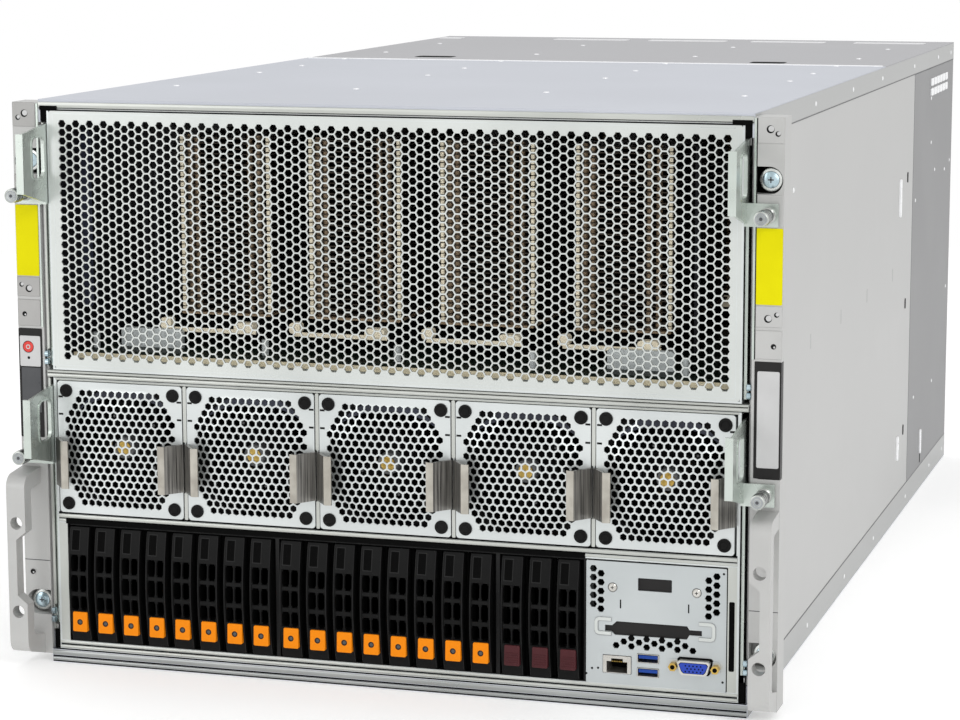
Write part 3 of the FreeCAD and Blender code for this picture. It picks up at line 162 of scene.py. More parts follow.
EAR = coat("ear_paint", (0.45, 0.45, 0.44), 0.03, (0.34, 0.46), 0.1, **PAINT)
# Darker copy of the ear paint: painted shade.
EAR_SHADE = coat("ear_paint_painted_shade", (0.355, 0.35, 0.34), 0.03, (0.34, 0.46), 0.1, **PAINT)
THUMB = sheet("thumb_steel", (0.34, 0.35, 0.335), (0.46, 0.47, 0.45), (0.22, 0.32), 0.9, 200)
THUMB_FACE = sheet("thumb_face", (0.27, 0.29, 0.3), 0.09, (0.25, 0.35), 0.8, 200)
LEVER = sheet("lever_zinc", (0.49, 0.54, 0.5), 0.09, (0.22, 0.34), 0.7, 30)
# Lit and shaded copies of the spring steel: the sheet darker as painted shade, the lip lighter as painted
# light.
SPRING = coat("spring_steel_painted_shade", (0.1, 0.098, 0.092), (0.31, 0.3, 0.28), (0.26, 0.42), 0.9, 160, 1500,
              (6, 6, 0.15), 0.05)
SPRING_LIP_LIT = sheet("spring_lip_painted_light", (0.34, 0.32, 0.28), (0.46, 0.44, 0.39), (0.3, 0.42), 0.8, 90)
ZINC = sheet("zinc_screw", (0.36, 0.47, 0.52), 0.14, (0.18, 0.32), 1.0, 200)
SILVER = sheet("silver_screw", (0.62, 0.64, 0.62), 0.12, (0.2, 0.32), 0.9, 200)
PORT = sheet("port_shell", (0.5, 0.485, 0.45), 0.14, (0.22, 0.36), 0.9, 40)
BLACK = coat("black_plastic", (0.0035,) * 3, 0.0035, (0.34, 0.48), shine=0.1, **SOFT)
RUBBER = coat("plug_rubber", (0.003,) * 3, 0.004, (0.38, 0.5), shine=0.12, **SOFT)
PANEL = coat("panel_black", (0.007, 0.0065, 0.0065), (0.012, 0.011, 0.011), (0.4, 0.52), shine=0.25, **SOFT)
ORANGE = coat("orange_tab", (0.8, 0.22, 0.002), (0.86, 0.25, 0.003), (0.36, 0.48), shine=0.12, **SOFT)
MAROON = coat("maroon_tab", (0.04, 0.005, 0.007), (0.062, 0.009, 0.012), (0.36, 0.48), shine=0.25, **SOFT)
# Near-black with almost no gloss for gaps, slots, holes, recesses, backings and fan hubs: painted shade.
DARK = coat("dark_gap", (0.0015,) * 3, 0.0015, (0.7, 0.9), shine=0.05)
CAGE = coat("cage_dark", (0.01,) * 3, 0.008, (0.45, 0.6), shine=0.15)
SMOKE = coat("smoke_window", (0.055, 0.057, 0.062), 0.02, (0.25, 0.35), shine=0.4)
YELLOW = coat("yellow_label", (0.69, 0.63, 0.0008), (0.73, 0.67, 0.0012), (0.45, 0.55), shine=0.08)
PLATE = coat("silver_plate", (0.5,) * 3, 0.05, (0.3, 0.4), 0.2, fine=2000)
BLUE = coat("blue_insert", (0.002, 0.038, 0.25), (0.004, 0.05, 0.31), (0.3, 0.42), shine=0.3)
VIDEO_BLUE = coat("video_blue", (0.012, 0.04, 0.34), (0.018, 0.055, 0.42), (0.3, 0.42), shine=0.3)
GOLD = coat("gold", (0.46, 0.29, 0.06), (0.66, 0.46, 0.13), (0.22, 0.34), 0.9, fine=2600)
RED = coat("red_button", (0.62, 0.03, 0.022), (0.7, 0.045, 0.035), (0.3, 0.4))
PALE = coat("pale_plastic", (0.3, 0.31, 0.32), 0.12, (0.35, 0.5))
BOARD = coat("board", (0.006, 0.012, 0.008), (0.01, 0.02, 0.013), (0.4, 0.55), 0.0, 300, shine=0.2)
# Beige board edge that also glows: painted light.
BOARD_EDGE = coat("board_edge", (0.8, 0.7, 0.48), (0.9, 0.82, 0.6), (0.5, 0.65), 0.0, 300, glow=0.08)
FIN = coat("fin_metal", (0.04, 0.032, 0.024), (0.085, 0.07, 0.054), (0.4, 0.55), 0.5, 200, shine=0.2)
# Light fin edges that also glow: painted light.
FIN_EDGE = coat("fin_edge", (0.86, 0.76, 0.56), (0.97, 0.89, 0.7), (0.4, 0.5), 0.1, 400, glow=0.12)
COPPER = coat("copper", (0.36, 0.26, 0.16), (0.5, 0.37, 0.24), (0.35, 0.5), 0.3, 200)
CLEAR_GREY = coat("grey_block", (0.62, 0.67, 0.67), 0.14, (0.25, 0.4), 0.0, 120)
# Near-black sheets and bars in the upper tray: painted shade.
SHADE_BLACK = coat("painted_shade_black", (0.008, 0.009, 0.011), (0.016, 0.017, 0.021), (0.45, 0.6), shine=0.15)
# Bluish glossy colour: painted sheen.
BLUE_SHEEN = coat("blue_painted_sheen", (0.02, 0.024, 0.044), (0.06, 0.068, 0.105), (0.3, 0.45), 0.0, 30)
SUPPLY = coat("supply_metal", (0.42, 0.43, 0.45), 0.08, (0.32, 0.44), 0.6)
SEAM = coat("seam_grey", (0.12, 0.122, 0.125), 0.03, (0.45, 0.55), 0.2)


# Mesh building


def circle(across, up, radius, sides=24, turn=0.0):
    steps = [radians(turn) + 2 * pi * step / sides for step in range(sides)]
    return [(across + radius * cos(a), up + radius * sin(a)) for a in steps]


def rounded(left, low, right, high, radius, steps=4):
    """Rectangle with rounded corners, anticlockwise."""
    corners = ((right - radius, low + radius, -90), (right - radius, high - radius, 0),
               (left + radius, high - radius, 90), (left + radius, low + radius, 180))
    loop = []
    for across, up, start in corners:
        for step in range(steps + 1):
            angle = radians(start + 90 * step / steps)
            loop.append((across + radius * cos(angle), up + radius * sin(angle)))
    return loop


def level(across, up):
    return 0.0


def band(first, second, count):
    """Faces between two closed rows of points, from the index of each row's first point."""
    return [[first + here, first + ahead, second + ahead, second + here]
            for here, ahead in enumerate([*range(1, count), 0])]


ORDER = {
    "x": lambda u, v, w: (w, u, v),
    "y": lambda u, v, w: (u, w, v),
    "z": lambda u, v, w: (u, v, w),
}


class Build:
    """Collects points and faces of one piece; each face carries the index of its material."""

    def __init__(self):
        self.points = []
        self.faces = []
        self.tints = []

    def add(self, points, faces, tint=0):
        start = len(self.points)
        self.points += [at(*point) for point in points]
        self.faces += [[start + index for index in face] for face in faces]
        self.tints += [tint] * len(faces)

    def prism(self, loop, low, high, tint=0, axis="y"):
        """A closed outline carried along an axis, with flat ends."""
        count = len(loop)
        points = [ORDER[axis](u, v, w) for w in (low, high) for u, v in loop]
        ends = [list(range(count))[::-1], list(range(count, 2 * count))]
        self.add(points, ends + band(0, count, count), tint)

    def slab(self, sides, low, high, tint=0, axis="y"):
        """A plate with rounded corners, from what rounded() needs."""
        self.prism(rounded(*sides), low, high, tint, axis)

    def box(self, x, y, z, tint=0):
        self.prism([(x[0], z[0]), (x[1], z[0]), (x[1], z[1]), (x[0], z[1])], y[0], y[1], tint)

    def lathe(self, across, up, profile, sides=24, tint=0, axis="y"):
        """Rings of (radius, place along the axis), joined and closed at both ends."""
        points = []
        for radius, along in profile:
            points += [ORDER[axis](u, v, along) for u, v in circle(across, up, radius, sides)]
        last = (len(profile) - 1) * sides
        faces = [list(range(sides)), list(range(last, last + sides))]
        for ring in range(0, last, sides):
            faces += band(ring, ring + sides, sides)
        self.add(points, faces, tint)

    def plate(self, outline, holes, low, high, tint=0, lift=level, walled=None):
        """A plate facing the front, with holes; lift moves points forward, walled counts the closed edges."""
        loops = [outline] + holes
        flat = [point for loop in loops for point in loop]
        triangles = tessellate_polygon([[Vector((u, v, 0)) for u, v in loop] for loop in loops])
        count = len(flat)
        points = [(u, w - lift(u, v), v) for w in (low, high) for u, v in flat]
        faces = [[index + face for index in triangle] for face in (0, count) for triangle in triangles]
        start = 0
        for loop in loops[:walled]:
            faces += band(start, start + count, len(loop))
            start += len(loop)
        self.add(points, faces, tint)

    def comb(self, outline, centres, pitch, hole, low, high, turn, lift=level):
        """A plate filled with hexagonal holes."""
        cells = [circle(u, v, pitch / sqrt(3), 6, turn) for u, v in centres]
        rings = [circle(u, v, hole / sqrt(3), 6, turn) for u, v in centres]
        for cell, ring in zip(cells, rings):
            points = [(u, w - lift(u, v), v) for w in (low, high) for u, v in cell + ring]
            self.add(points, band(0, 6, 6) + band(12, 18, 6) + band(6, 18, 6))
        self.plate(outline, [field_edge(cells)], low, high, 0, lift, walled=1)


def field_edge(cells):
    """Outline round a field of touching hexagons: the edges that belong to one cell only."""
    rows = [[(round(u, 3), round(v, 3)) for u, v in cell] for cell in cells]
    edges = dict.fromkeys(edge for row in rows for edge in zip(row, row[1:] + row[:1]))
    following = {here: ahead for here, ahead in edges if (ahead, here) not in edges}
    loop = [next(iter(following))]
    while following[loop[-1]] != loop[0]:
        loop.append(following[loop[-1]])
    return loop


def mesh_of(name, build, materials):
    mesh = bpy.data.meshes.new(name)
    mesh.from_pydata(build.points, [], build.faces)
    for material in materials:
        mesh.materials.append(material)
    mesh.polygons.foreach_set("material_index", build.tints)
    work = bmesh.new()
    work.from_mesh(mesh)
    bmesh.ops.recalc_face_normals(work, faces=work.faces)
    work.to_mesh(mesh)
    work.free()
    mesh.shade_smooth()
    mesh.set_sharp_from_angle(angle=radians(32))
    return mesh


def soften(thing, width, angle=40):
    """Small rounded edges that catch the light."""
    modifier = thing.modifiers.new("edges", "BEVEL")
    modifier.width = width * MM
    modifier.segments = 2
    modifier.limit_method = "ANGLE"
    modifier.angle_limit = radians(angle)


def place(name, data):
    thing = bpy.data.objects.new(name, data)
    bpy.context.scene.collection.objects.link(thing)
    return thing


def piece(name, body, build, materials, replaces=(), bevel=0.0, angle=40, across=0.0):
    """Makes an object of a build, or of a finished mesh, and hangs it on its body."""
    mesh = build if isinstance(build, bpy.types.Mesh) else mesh_of(name, build, materials)
    thing = place(name, mesh)
    thing.location.x = across
    if bevel:
        soften(thing, bevel, angle)
    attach(thing, body)
    if replaces:
        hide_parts(*replaces)


def dress(material, bevel, *names):
    """CAD nodes keep their shapes and get a finish."""
    for name in names:
        for slot in nodes[name].material_slots:
            slot.material = material
        if bevel:
            soften(nodes[name], bevel)


# The case


def case_nodes():
    dress(CASE, 0.6, "chassis_floor", "top_cover_front")
    dress(CASE, 0.0, "rear_panel", "rear_grille")
    dress(REAR, 0.5, "top_cover_rear")
    dress(SIDE, 0.0, "side_wall_left", "side_wall_right")
    dress(TRAY, 0.0, "system_tray_pan", "gpu_tray_pan", "fan_cage")
    dress(CAGE, 0.0, "drive_cage")
    dress(LIP, 0.6, "tray_shelf")
    dress(EAR, 1.2, "rack_ear_left", "rack_ear_right")
    dress(PANEL, 0.3, "control_panel")
    dress(BOARD, 0.0, "gpu_baseboard", "motherboard")


def hem(build, low, high, reach, half, front=-0.6, tint=0):
    """A rolled edge across the front: full in the middle of its height, turned back at both sides."""
    rise = high - low
    loop = [(reach, low), (front + 0.5, low), (front + 0.1, low + 0.22 * rise), (front, low + 0.55 * rise),
            (front + 0.25, low + 0.85 * rise), (front + 0.8, high), (reach, high)]
    build.prism(loop, -half, half, tint, "x")


def gap(build, half, low, high, tint=1):
    """Dark stripe between two hems."""
    build.box((-half, half), (-0.06, 0.6), (low, high), tint)


def cover_hem():
    """Rolled front edge of the cover, the dark gaps at its corners, pins beside the trays, and strips in the
    gaps beside the trays: dark as painted shade on the right, light as painted light on the left.
    """
    build = Build()
    hem(build, 350.6, 354.3, 2.0, 223.5)
    hem(build, 354.4, 355.7, 2.0, 223.5, -0.4, 1)
    hem(build, 349.5, 350.2, 2.0, 223.5, -0.3)
    gap(build, 223.4, 350.2, 350.6, 2)
    build.box((-221.5, 221.5), (0.4, 1.0), (348.7, 349.5), 2)
    for side in SIDES:
        build.box(span(side, 211.0, 222.6), (-0.75, 0.2), (349.2, 351.7), 2)
        build.box(span(side, 217.5, 223.6), (0.6, 1.6), (341.6, 349.6), 2)
        # Strip in the gap beside the trays: dark as painted shade on the right, light as painted light on the
        # left.
        build.box(span(side, 221.9, 222.2), (0.8, 18.0), (189.0, 349.0), 2 if side > 0 else 0)
        pin = [(1.6, side * 220.8), (2.1, side * 221.1), (2.1, side * 223.2), (1.6, side * 223.6)]
        for z in (192.4, 197.4, 27.5, 33.0):
            build.lathe(0.6, z, pin, 16, 3, "x")
    piece("cover_hem", "chassis", build, [LIP, CASE, DARK, ZINC])


def shelf_hem():
    build = Build()
    hem(build, 185.7, 187.3, 1.4, 222.0)
    hem(build, 183.0, 185.2, 1.4, 222.0, -0.4)
    gap(build, 222.0, 185.2, 185.7)
    build.box((-217.0, 217.0), (0.6, 1.2), (187.3, 188.8), 1)
    piece("shelf_hem", "chassis", build, [LIP, DARK])


def floor_hem():
    """Rolled front edge of the floor, dark blocks low in both corners as painted shade, and strips in the
    gaps beside the trays: dark as painted shade on the right, light as painted light on the left.
    """
    build = Build()
    hem(build, 0.9, 3.2, 1.4, 223.5)
    hem(build, 4.2, 8.1, 1.4, 223.5, -0.4)
    for low, high in ((0.1, 0.9), (3.2, 4.2), (8.1, 8.6)):
        gap(build, 223.4, low, high)
    for side in SIDES:
        # Dark blocks low in both corners: painted shade.
        build.box(span(side, 218.4, 222.2), (0.8, 1.8), (8.7, 21.0), 1)
        # Dark strip on the right as painted shade, light strip on the left as painted light.
        build.box(span(side, 221.9, 222.2), (0.8, 18.0), (8.7, 182.0), 1 if side > 0 else 2)
    # Light strips on the left wall: painted light.
    for low, high in ((37.0, 182.0), (200.5, 341.0)):
        build.slab((-222.2, low, -220.8, high, 0.4, 2), 0.9, 2.4, 2)
    piece("floor_hem", "chassis", build, [FLOOR_LIP, DARK, LIP])


def tray_hem():
    """Rolled edges of the lower tray and its fan cage, the bars between the fans and the end strips, a dark
    strip under the fan cage as painted shadow and a dark strip in the gap on the right as painted shade.
    """
    build = Build()
    hem(build, 9.4, 11.4, 1.0, 217.8)
    hem(build, 12.3, 14.4, 1.0, 217.8, -0.4)
    gap(build, 217.6, 11.4, 12.3)
    build.box((-217.6, 217.6), (0.3, 0.9), (8.5, 9.4), 1)
    hem(build, 93.6, 96.2, 1.0, 216.9)
    build.box((-216.8, 216.8), (-0.2, 0.6), (96.2, 97.4), 1)
    hem(build, 90.9, 92.9, 1.0, 216.9, -0.4)
    gap(build, 216.8, 92.9, 93.6)
    # Dark strip above the drives: painted shadow under the fan cage.
    build.box((-212.0, 125.0), (-0.45, 0.6), (90.0, 92.9), 1)
    hem(build, 181.1, 182.4, 1.0, 216.8)
    for index in range(4):
        x = FAN_PITCH * (index - 1.5)
        for low, high in ((97.4, CLIP_LOW - 0.8), (CLIP_HIGH + 0.8, 181.0)):
            build.slab((x - 1.1, low, x + 1.1, high, 0.6), -0.7, 0.6, 0)
        for left in (x - 1.6, x + 1.1):
            build.box((left, left + 0.5), (0.0, 0.6), (97.4, 181.0), 1)
    for left, right in ((-216.8, -211.2), (211.4, 216.8)):
        build.slab((left, 14.8, right, 90.4, 0.4, 2), -0.15, 0.3, 0)
    build.slab((212.3, 27.6, 215.6, 69.6, 0.8), -0.3, 0.4, 1)
    build.box((210.75, 211.35), (-0.1, 0.5), (15.0, 89.5), 1)
    build.box((-210.9, -210.2), (-0.1, 0.5), (15.0, 90.0), 1)
    # Dark strip in the gap on the right: painted shade.
    build.box((218.2, 218.3), (1.0, 18.0), (9.0, 181.0), 1)
    piece("tray_hem", "system_tray", build, [LIP, DARK])


def wall_dot(build, side, y, z, radius, rise):
    wall = side * CASE_HALF
    build.lathe(y, z, [(radius, wall - side * 0.2), (radius * 0.9, wall + side * rise * 0.6),
                       (radius * 0.45, wall + side * rise)], 12, axis="x")


def on_wall(build, side, loop, rise, tint=0):
    """A flat shape set on a side wall."""
    build.prism(loop, side * (CASE_HALF - 0.2), side * (CASE_HALF + rise), tint, "x")


def on_top(build, loop, rise, tint=0, sunk=0.4):
    """A flat shape set on the top."""
    build.prism(loop, CASE_TOP - sunk, CASE_TOP + rise, tint, "z")


def case_rivets():
    # Rivet heads and pressed dots in near-white, which stands for their glints: painted highlights on real
    # rivets.
    build = Build()
    head = [(2.1, CASE_TOP - 0.2), (1.9, CASE_TOP + 0.4), (1.0, CASE_TOP + 0.6)]
    for y in (137, 285, 370, 462, 560, 700):
        for x in (-190, -65, 62, 189):
            build.lathe(x, y, head, 12, axis="z")
    for side in SIDES:
        for y in (60, 190, 330, 455, 610, 740, 815):
            wall_dot(build, side, y, 348, 1.8, 0.7)
            wall_dot(build, side, y, 9, 1.8, 0.6)
        for y, z in ((705, 317), (709, 281), (733, 257), (791, 252), (820, 257), (629, 242), (815, 150),
                     (743, 80), (642, 83), (120, 300), (90, 60)):
            wall_dot(build, side, y, z, 1.7, 0.6)
    piece("case_rivets", "chassis", build, [RIVET_AND_GLINT])


def cover_edge():
    """Strip along the seam of the two covers and short strips near the back."""
    build = Build()
    on_top(build, rounded(-222.0, 466.4, 222.0, 469.8, 1.2), 0.6)
    for left, right in ((-219, -199), (-115, -50), (-31, 36), (58, 121), (146, 205)):
        on_top(build, rounded(left, 786, right, 802, 1.5), 0.5, 1)
    piece("cover_edge", "chassis", build, [RIVET_AND_GLINT, EDGE], bevel=0.25)


def case_slots():
    """Finger slots of the cover, small slots of the walls and the seams along the flanges."""
    build = Build()
    for left, right, y in ((-148, -118, 512), (119, 145, 496)):
        on_top(build, rounded(left, y - 9, right, y + 9, 3.4), 0.08, 0, 0.3)
    for side in SIDES:
        for y, z in ((588, 264), (591, 66), (588, 166), (684, 26)):
            on_wall(build, side, rounded(y - 1.8, z - 4, y + 1.8, z + 4, 1.5), 0.35)
        for low in (341.1, 19.3):
            build.box(span(side, CASE_HALF, CASE_HALF + 0.3), (3.0, 831.0), (low, low + 0.6), 1)
    piece("case_slots", "chassis", build, [DARK, SEAM])


def side_sheets():
    """Darker rear part, flanges, pressed hooks and vents of the side walls; the hooks and vents are
    near-white as painted glints.
    """
    build = Build()
    for side in SIDES:
        on_wall(build, side, [(615, 19.9), (831, 19.9), (831, 341.0), (615, 341.0)], 0.25)
        for low, high in ((0.6, 19.2), (341.8, 355.0)):
            on_wall(build, side, [(2, low), (832, low), (832, high), (2, high)], 0.25, 2)
        for y, low, high in ((551, 237, 266), (561, 47, 66), (682, 30, 50)):
            on_wall(build, side, rounded(y - 3, low, y + 3, high, 2.5), 1.3, 1)
        for y in (187, 299, 406, 523):
            on_wall(build, side, rounded(y - 1.4, 191.5, y + 1.4, 201.5, 1.2), 0.15, 2)
        for index in range(6):
            y = 700 + 16 * index
            for z in (319, 327):
                on_wall(build, side, rounded(y, z, y + 12, z + 6, 1.5), 1.3, 1)
    piece("side_sheets", "chassis", build, [BACK_SIDE, RIVET_AND_GLINT, BAND], bevel=0.2)


# Rack ears


def ear_blocks():
    build = Build()
    for side in SIDES:
        left, right = span(side, 225.6, 241.25)
        for low, high in ((338.6, 353.6), (291.3, 309.2), (214.4, 231.2), (233.0, 245.4)):
            # Blocks on the left in the darker copy of the ear paint: painted shade.
            build.slab((left, low, right, high, 0.8), -0.6, 0.4, 0 if side > 0 else 1)
    piece("ear_blocks", "chassis", build, [EAR, EAR_SHADE], bevel=0.5)


def ear_marks():
    """Small holes with a light glint, and the seams of the ears."""
    build = Build()
    for side in SIDES:
        for x, z, radius in ((233, 346.8, 2.0), (237.4, 344.2, 1.3), (233, 238, 2.0), (238, 240.4, 1.2)):
            build.lathe(side * x, z, [(radius + 0.3, -0.66), (radius + 0.3, 0.3)])
            build.lathe(side * x + 0.45, z + 0.3, [(radius * 0.85, -0.7), (radius * 0.85, 0.3)], 24, 1)
        for x, z in ((236.4, 222), (235.8, 57.5)):
            build.lathe(side * x, z, [(1.6, -0.66), (1.6, 0.3)], 20)
            build.lathe(side * x + 0.5, z - 0.4, [(0.6, -0.7), (0.6, 0.3)], 12, 1)
        build.box(around(side * 232.5, 8.7), (-0.05, 0.2), (64.9, 65.4), 2)
        build.box(span(side, 223.85, 225.1), (-0.9, 0.3), (214.0, 353.0), 3)
        build.box(span(side, 225.1, 225.6), (-0.04, 0.3), (214.0, 353.0))
    piece("ear_marks", "chassis", build, [RUBBER, PLATE, SMOKE, LEVER])


def screw_recesses():
    """Walls of the recesses that hold the rack screws: dark in the upper recess as painted shade, in ear
    paint in the lower one.
    """
    build = Build()
    for side in SIDES:
        for z, tint in zip(SCREW_HEIGHTS, (1, 0)):
            build.box(span(side, 223.9, 240.0), (10.9, 11.6), around(z, 7.9), tint)
            build.box(span(side, 223.8, 224.1), (0.4, 11.6), around(z, 7.9), tint)
    piece("ear_recess_walls_and_shade", "chassis", build, [DARK, EAR])


def blank_labels():
    build = Build()
    for side in SIDES:
        left, right = span(side, 225.7, 241.0)
        build.slab((left, 246.0, right, 290.2, 0.8), -0.3, 0.1)
    piece("blank_labels", "chassis", build, [YELLOW])


def control_plate():
    """Black frame with a light plate round the button on the left ear."""
    build = Build()
    build.plate(rounded(-241.2, 144.2, -225.2, 213.0, 0.8), [circle(*BUTTON, 3.9, 32)], -0.3, 0.2, 0)
    build.plate(rounded(-240.3, 189.0, -226.4, 208.2, 0.8), [circle(*BUTTON, 3.8, 32)], -0.6, -0.2, 1)
    build.slab((-239.6, 160.0, -226.6, 188.2, 0.4), -0.45, -0.2, 2)
    build.lathe(-234.4, 194.4, [(0.9, -0.66), (0.9, -0.2)], 16, 3)
    build.slab((-239.6, 150.5, -238.0, 156.0, 0.3), -0.5, -0.2, 1)
    piece("control_plate", "chassis", build, [PANEL, PLATE, SMOKE, DARK])


def badge_plate():
    """Plain plate in a black frame on the right ear."""
    build = Build()
    build.slab((225.4, 144.2, 241.2, 213.0, 0.6), -0.3, 5.8, 0)
    build.slab((227.2, 150.6, 240.3, 207.4, 1.0), -0.85, 0.1, 1)
    piece("badge_plate", "chassis", build, [PANEL, PLATE], bevel=0.25)


def button_cap():
    build = Build()
    build.lathe(*BUTTON, [(3.4, 2.0), (3.4, -0.55), (3.1, -0.8), (1.9, -0.8), (1.9, -0.6)], 32)
    build.lathe(*BUTTON, [(1.6, -0.5), (1.5, -0.84), (0.5, -0.84)], 24, 1)
    build.lathe(*BUTTON, [(1.0, -0.5), (0.9, -0.88), (0.4, -0.88)], 20)
    piece("button_cap", "power_button", build, [RED, PLATE], replaces=("power_button",))


def rack_screw(build, x, z):
    """Flanged pan head with a light rim, a bluish face and a small star recess, and its thread."""
    radius, front = 6.8, 4.4
    rim = ((1.0, 5.0), (1.0, 1.6), (0.94, 1.1), (0.76, 0.9))
    face = ((0.76, 1.2), (0.7, 0.5), (0.5, 0.1), (0.2, 0.0))
    for tint, profile in enumerate((rim, face)):
        build.lathe(x, z, [(radius * share, front + deep) for share, deep in profile], 36, tint)
    for wide, high in ((1.7, 0.4), (0.4, 1.7)):
        build.box(around(x, wide), (front - 0.02, front + 0.6), around(z, high), 2)
    build.lathe(x, z, [(2.5, 9.0), (2.5, 31.5), (1.6, 33.0)], 20, 1)


def rack_screws():
    build = Build()
    for side in SIDES:
        for z in SCREW_HEIGHTS:
            rack_screw(build, side * SCREW_ACROSS, z)
    piece("rack_screw_set", "chassis", build, [SILVER, ZINC, SMOKE], replaces=("rack_screws",))


# Upper tray


def door_mesh():
    """Mesh door: rows of small hexagons in a plain border with a folded rim."""
    build = Build()
    low, high, half = 188.9, 348.6, 217.0
    pitch, columns, rows = 5.34, 91, 28
    step = pitch * sqrt(3) / 2
    middle = (low + high) / 2
    centres = []
    for column in range(columns):
        count = rows - column % 2
        for row in range(count):
            centres.append(((column - (columns - 1) / 2) * step, middle + (row - (count - 1) / 2) * pitch))
    build.comb(rounded(-half, low, half, high, 1.5), centres, pitch, 4.5, 0.0, 1.2, 0)
    rim = 1.2
    for x in ((-half, -half + rim), (half - rim, half)):
        build.box(x, (1.2, 11.2), (low, high))
    for z in ((low, low + rim), (high - rim, high)):
        build.box((-half, half), (1.2, 11.2), z)
    piece("door_mesh", "gpu_tray", build, [DOOR], replaces=("gpu_door_grille",))


def door_lines():
    """Fine lines round the field of the door, and a dark strip of painted shade in the gap behind its right
    edge.
    """
    build = Build()
    for side in SIDES:
        build.box(span(side, 214.2, 214.6), (-0.05, 0.3), (191.0, 346.5))
    for z in (190.6, 347.0):
        build.box((-214.4, 214.4), (-0.05, 0.3), around(z, 0.2))
    build.box((218.2, 218.3), (1.0, 18.0), (189.5, 348.0), 1)
    piece("door_lines", "gpu_tray", build, [TRAY, DARK])


def cooler_tower(build, centre, front, back, low, high):
    """Stack of dark fins with light folded edges that glow as painted light, pipes behind, and a base plate
    with corner brackets.
    """
    half, fins = 30.0, 34
    rise = (high - low) / fins
    for index in range(fins):
        z = low + rise * (index + 0.5)
        build.box(around(centre, half - 1.0), (front + 1.5, back), around(z, 0.3), 0)
        for x in (centre - half, centre + half - 2.0):
            build.box((x, x + 2.0), (front, front + 2.5), around(z, 1.25), 1)
    for offset in (-26.0, -21.0, 14.5, 20.5):
        build.lathe(centre + offset, front + 7.0, [(2.0, low), (2.0, high)], 14, 2, "z")
    build.box(around(centre, half), (front - 1.5, back + 1), (low - 1.2, low), 2)
    build.box(around(centre, half - 3), (front + 2, back - 2), (199, low - 1.2), 3)
    shelf = front - 26
    build.box(around(centre, half + 1), (shelf, shelf + 24), (207.2, 208.6), 3)
    build.box((centre - half - 1, centre + half), (shelf - 0.6, shelf + 0.4), (208.2, 210.8), 1)
    for x, wide, foot, head in ((-half - 0.5, 3.5, 210.0, 216.5), (half - 8.0, 6.5, 209.5, 215.0)):
        left, right = around(centre + x, wide)
        build.slab((left, foot, right, head, 2.0), shelf - 1.2, shelf + 6, 1)


def cooler_towers():
    build = Build()
    for row in range(2):
        for column in range(4):
            front = 70 + 200 * row
            cooler_tower(build, (column - 1.5) * 86.5, front, front + 160, 217.0, 329.5)
    piece("cooler_towers", "gpu_tray", build, [FIN, FIN_EDGE, COPPER, DARK],
          replaces=("gpu_heatsinks",))


def board_front():
    """Front edge of the accelerator board, with guide blocks, posts, and dark bars of painted shade behind
    the door.
    """
    build = Build()
    # The board edge glows a little: painted light.
    build.box((-209.5, 209.5), (12.0, 13.0), (193.6, 197.2), 0)
    build.box((-209.5, 209.5), (12.0, 12.8), (190.2, 193.4), 3)
    for left, right in ((-189.0, -147.8), (127.7, 168.7)):
        build.slab((left, 192.5, right, 210.0, 2), 39, 43, 1)
    for x in (-201.9, -88.2, -2.0, 83.7, 178.0):
        build.prism(circle(x, 30, 2.2, 16), 193.0, 207.5, 1, "z")
    # Dark bars in the gaps beside the coolers: painted shade.
    for left in (-186.0, -178.0, 174.0):
        build.box((left, left + 3.5), (69.0, 70.0), (205.0, 330.0), 2)
    piece("board_front", "gpu_tray", build, [BOARD_EDGE, CLEAR_GREY, SHADE_BLACK, TRAY])


def shade_and_sheen_sheets():
    build = Build()
    # Dark sheets on the walls and floor of the upper tray: painted shade.
    for side in SIDES:
        build.box(span(side, 215.6, 216.8), (13.0, 630.0), (190.0, 346.0))
    build.box((-216.0, 216.0), (13.0, 630.0), (189.2, 189.8))
    # Bluish strip on the left wall: painted sheen.
    build.slab((-215.4, 222.0, -207.6, 334.0, 3.0), 39.0, 40.0, 1)
    piece("shade_and_sheen_sheets", "gpu_tray", build, [SHADE_BLACK, BLUE_SHEEN])


# Lower tray: fans


def octagon_rise(x0, z0, half, height):
    """Pressed bulge of a fan guard: flat in the middle, sloped towards an octagon."""
    def lift(across, up):
        u, v = abs(across - x0) / half, abs(up - z0) / half
        reach = max(u, v, (u + v) / 1.48)
        share = min(max((1.0 - reach) / 0.3, 0.0), 1.0)
        return height * share * share * (3 - 2 * share)
    return lift


def guard_centres(x0, z0):
    pitch = 5.0
    spots = []
    for row in range(-8, 9):
        limit = min(35.1, 25.1 + (8 - abs(row)) * 2.5)
        for column in range(-9, 9):
            across = (column + 0.5 * (row % 2)) * pitch
            if abs(across) <= limit:
                spots.append((x0 + across, z0 + row * pitch * sqrt(3) / 2))
    return spots


def spring_clip(build, x0, side):
    """Sprung sheet bent at the module's edge, leaning over the guard, darker as painted shade, with a front
    lip lighter as painted light.
    """
    edge = x0 + side * FAN_SIZE / 2
    lean = ((-1.2, -1.0), (1.0, -0.6), (1.6, -3.0), (8.2, -12.8), (8.0, -13.8), (7.2, -13.6), (-0.6, -3.6),
            (-1.2, -3.2))
    fold = ((7.0, -13.9), (8.4, -14.3), (11.6, -13.6), (11.8, -12.8), (8.4, -13.4))
    for loop, tint in ((lean, 1), (fold, 4)):
        build.prism([(edge - side * inward, y) for inward, y in loop], CLIP_LOW, CLIP_HIGH, tint, "z")


def shroud_glint(build, x0, z0):
    """Bluish painted sheen: a crescent in the upper part of a fan's opening."""
    angles = [radians(32 + 6 * step) for step in range(20)]
    turn = angles[-1] - angles[0]
    arch = [(38.8, angle) for angle in angles]
    arch += [(38.7 - 7.5 * sin((angle - angles[0]) * pi / turn), angle) for angle in reversed(angles)]
    loop = [(x0 + reach * cos(angle), z0 + reach * sin(angle)) for reach, angle in arch]
    build.prism(loop, 8.4, 9.4, 5)


